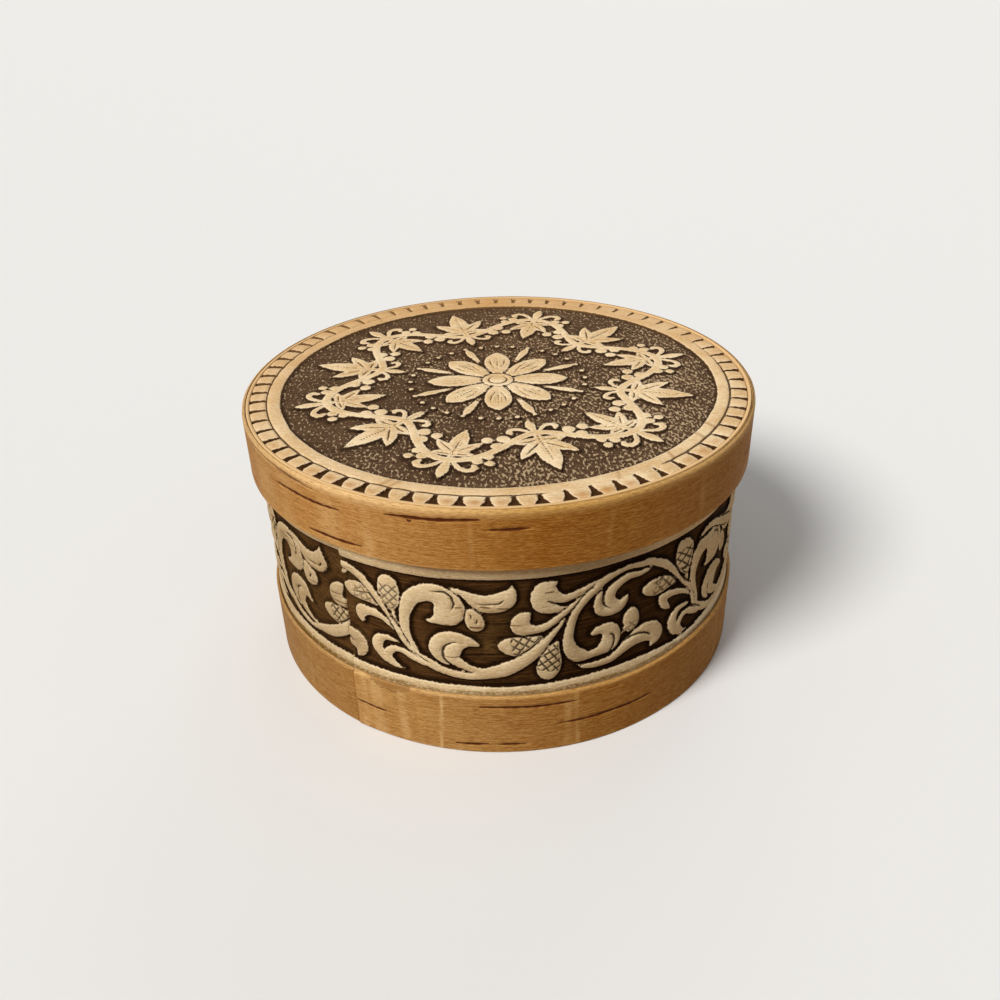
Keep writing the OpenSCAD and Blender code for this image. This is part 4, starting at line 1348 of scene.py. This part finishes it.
def ringStains(r, turn, lineR, fieldR, look):
    # slanting marks across the plain ring
    stain = np.zeros(r.shape)
    onRim = (r > fieldR) * ease(lineR + 0.6, lineR, r)
    for angle, share in look["ringMarks"]:
        lean = apart(turn, math.radians(angle), 2 * math.pi)
        aside = lean * r + look["markLean"] * (r - fieldR - look["markMiddle"])
        stain = np.maximum(stain, share * np.exp(-(aside / look["markHalf"]) ** 2) * onRim)
    return stain


def makeLidFace(look):
    # face height - field depth where nothing is raised - rounding towards raised edges - grooves
    ring = rings["lid_face"]
    edge, reach = ring["rOut"], look["reach"]
    lineR = edge - look["notchLength"]
    fieldR = lineR - look["plainRing"]
    x, y = discGrid(np.linspace(0, edge, look["rings"] + 1))

    def shape(x, y):
        return lidShape(x, y, edge, lineR, fieldR, look)

    rimLoop = np.hypot(x, y) > edge - 0.01
    x, y = settle(x, y, shape, reach)
    r = np.hypot(x, y)
    fit = np.where(rimLoop | (r > edge), edge / np.maximum(r, 1), 1)
    x, y = x * fit, y * fit
    r, turn = np.hypot(x, y), np.arctan2(x, -y)
    carving = shape(x, y)
    depth = carving["depth"]
    raised = ease(-2 * reach, 0, depth)
    dome = look["dome"] * np.exp(-np.clip(depth, 0, None) / look["domeRun"])
    z = ring["high"] - look["fieldDepth"] * (1 - raised)
    z = z - (dome + look["grooveDepth"] * cutOf(carving)) * raised
    z = z - look["edgeDrop"] * ease(edge - look["edgeRun"], edge, r)
    z = z + wobble(turn + r / look["waveLean"], look["wave"])
    front = ease(0.3, 0.9, np.cos(turn))
    least = look["ringOnField"]
    ringed = least + (1 - least) * ease(fieldR - 0.6, fieldR, r)
    ringed = ringed * fromTable(look["ringTone"], np.degrees(turn))
    thicker = np.clip(x / 30 - y / 60 - 0.1, -1, 1)  # more flecks towards the front right
    marks = {
        "relief": np.clip(depth, -2, 2), "grooveOff": carving["off"], "grooveHalf": carving["half"],
        "toothEnd": toothMarks(r, turn, edge, front, look),
        "stain": ringStains(r, turn, lineR, fieldR, look),
        "ringed": ringed * (1 - look["frontLess"] * front * ease(lineR - 0.2, lineR + 0.3, r)),
        "worn": np.where(r < fieldR, look["fleckLean"] * thicker, look["noFlecks"]),
    }
    piece = discMesh("lid_face_bark", x, y, np.minimum(z, ring["high"]), ring["low"], marks)
    finishPiece(piece, "lidFace", "lid", "lid_face")


makeLidFace(lidLook)


discLook = {"rings": 40, "edgeRing": 0.2, "edgeDrop": 0.12, "edgeRun": 0.25, "flatRim": 3}


def makeDisc(name, node, finish, body, uneven, look=discLook):
    # flat disc with a small round at its upper edge and a little unevenness
    ring = rings[node]
    edge = ring["rOut"]
    x, y = discGrid(np.append(np.linspace(0, edge - look["edgeRing"], look["rings"]), edge))
    r = np.hypot(x, y)
    z = ring["high"] - look["edgeDrop"] * ease(edge - look["edgeRun"], edge, r)
    swell = 0.5 + 0.5 * np.sin(x * 0.21 + 0.7) * np.cos(y * 0.17)
    z = z - uneven * swell * ease(edge, edge - look["flatRim"], r)
    piece = discMesh(name, x, y, z, ring["low"], {"grime": 0 * x, "pale": 0 * x})
    finishPiece(piece, finish, body, node)


makeDisc("base_disc_wood", "base_disc", "wood", "box", 0.0)
makeDisc("base_lining_bark", "base_lining", "lining", "box", 0.08)
makeDisc("lid_lining_bark", "lid_lining", "lining", "lid", 0.0)
makeDisc("lid_core_wood", "lid_core", "wood", "lid", 0.0)


# Floor, light and camera

stageLook = {
    "floorSeen": (0.84, 0.84, 0.83, 1), "floorBounce": (0.30, 0.21, 0.14, 1), "floorHalf": 6000.0,
    "floorDrop": -0.05, "floorRough": 0.9, "backSeen": (0.85, 0.86, 0.86, 1),
    "worldTone": (1.0, 0.98, 0.95, 1), "worldStrength": 0.28,
    "focal": 950.0, "frame": 1000.0, "distance": 215.7, "elevation": 31.05, "roll": 0.0287,
    "target": (-0.26, 0.0, 26.0),
}


def seenShare(tree):
    # 1 for what the camera, mirrors and glass see, 0 for the light that surfaces get
    path = addNode(tree, "ShaderNodeLightPath").outputs
    share = maths(tree, "MAXIMUM", path["Is Camera Ray"], path["Is Glossy Ray"])
    return maths(tree, "MAXIMUM", share, path["Is Transmission Ray"])


def makeFloor(look):
    # pale where it is seen, but with the muted bounce of a table on the object
    t = np.array([-1, 1]) * look["floorHalf"]
    x, y = np.meshgrid(t, t, indexing="ij")
    points = np.stack([x, y, np.full(x.shape, look["floorDrop"])], -1).reshape(-1, 3)
    quads = np.array([[0, 2, 3, 1]])
    floor = layMesh("floor", points, [quads], points[quads.ravel(), :2], {})
    made, tree, shader = newFinish("pale floor")
    tone = blend(tree, seenShare(tree), look["floorBounce"], look["floorSeen"])
    plug(tree, shader.inputs["Base Color"], tone)
    plug(tree, shader.inputs["Roughness"], look["floorRough"])
    floor.data.materials.append(made)


def makeWorld(look):
    # the camera, mirrors and glass see the pale backdrop; everything else gets the soft light
    world = bpy.data.worlds.new("studio")
    bpy.context.scene.world = world
    world.use_nodes = True
    tree = world.node_tree
    tree.nodes.clear()
    soft = {"Color": look["worldTone"], "Strength": look["worldStrength"]}
    light = addNode(tree, "ShaderNodeBackground", soft)
    seen = addNode(tree, "ShaderNodeBackground", {"Color": look["backSeen"], "Strength": 1.0})
    links = {0: seenShare(tree), 1: light.outputs[0], 2: seen.outputs[0]}
    mix = addNode(tree, "ShaderNodeMixShader", links)
    addNode(tree, "ShaderNodeOutputWorld", {"Surface": mix.outputs[0]})


def makeSun(name, towards, strength, softness, tone):
    lamp = bpy.data.lights.new(name, "SUN")
    lamp.energy = strength
    lamp.angle = math.radians(softness)
    lamp.color = tone
    ob = bpy.data.objects.new(name, lamp)
    ob.rotation_euler = (-Vector(towards)).to_track_quat("-Z", "Y").to_euler()
    bpy.context.scene.collection.objects.link(ob)


def makeCamera(look):
    # looks along +Y from in front, raised by the elevation, turned about its own axis by the roll
    camera = bpy.data.cameras.new("camera")
    camera.sensor_width = 36
    camera.lens = look["focal"] / look["frame"] * camera.sensor_width
    camera.clip_start, camera.clip_end = 0.01, 100
    up = math.radians(look["elevation"])
    back = Vector((0, -math.cos(up), math.sin(up)))
    turned = (-back).to_track_quat("-Z", "Y").to_matrix() @ Matrix.Rotation(-look["roll"], 3, "Z")
    place = (Vector(look["target"]) + back * look["distance"]) * mm
    ob = bpy.data.objects.new("camera", camera)
    ob.matrix_world = Matrix.Translation(place) @ turned.to_4x4()
    bpy.context.scene.collection.objects.link(ob)
    bpy.context.scene.camera = ob


makeFloor(stageLook)
makeWorld(stageLook)
makeSun("key", (-0.53, -0.47, 0.705), 3.0, 22, (1.0, 0.98, 0.95))
makeSun("back", (0.2, 0.9, 0.4), 0.45, 40, (0.97, 0.98, 1.0))
makeCamera(stageLook)
bpy.context.scene.view_settings.view_transform = "Standard"
print("stage set")
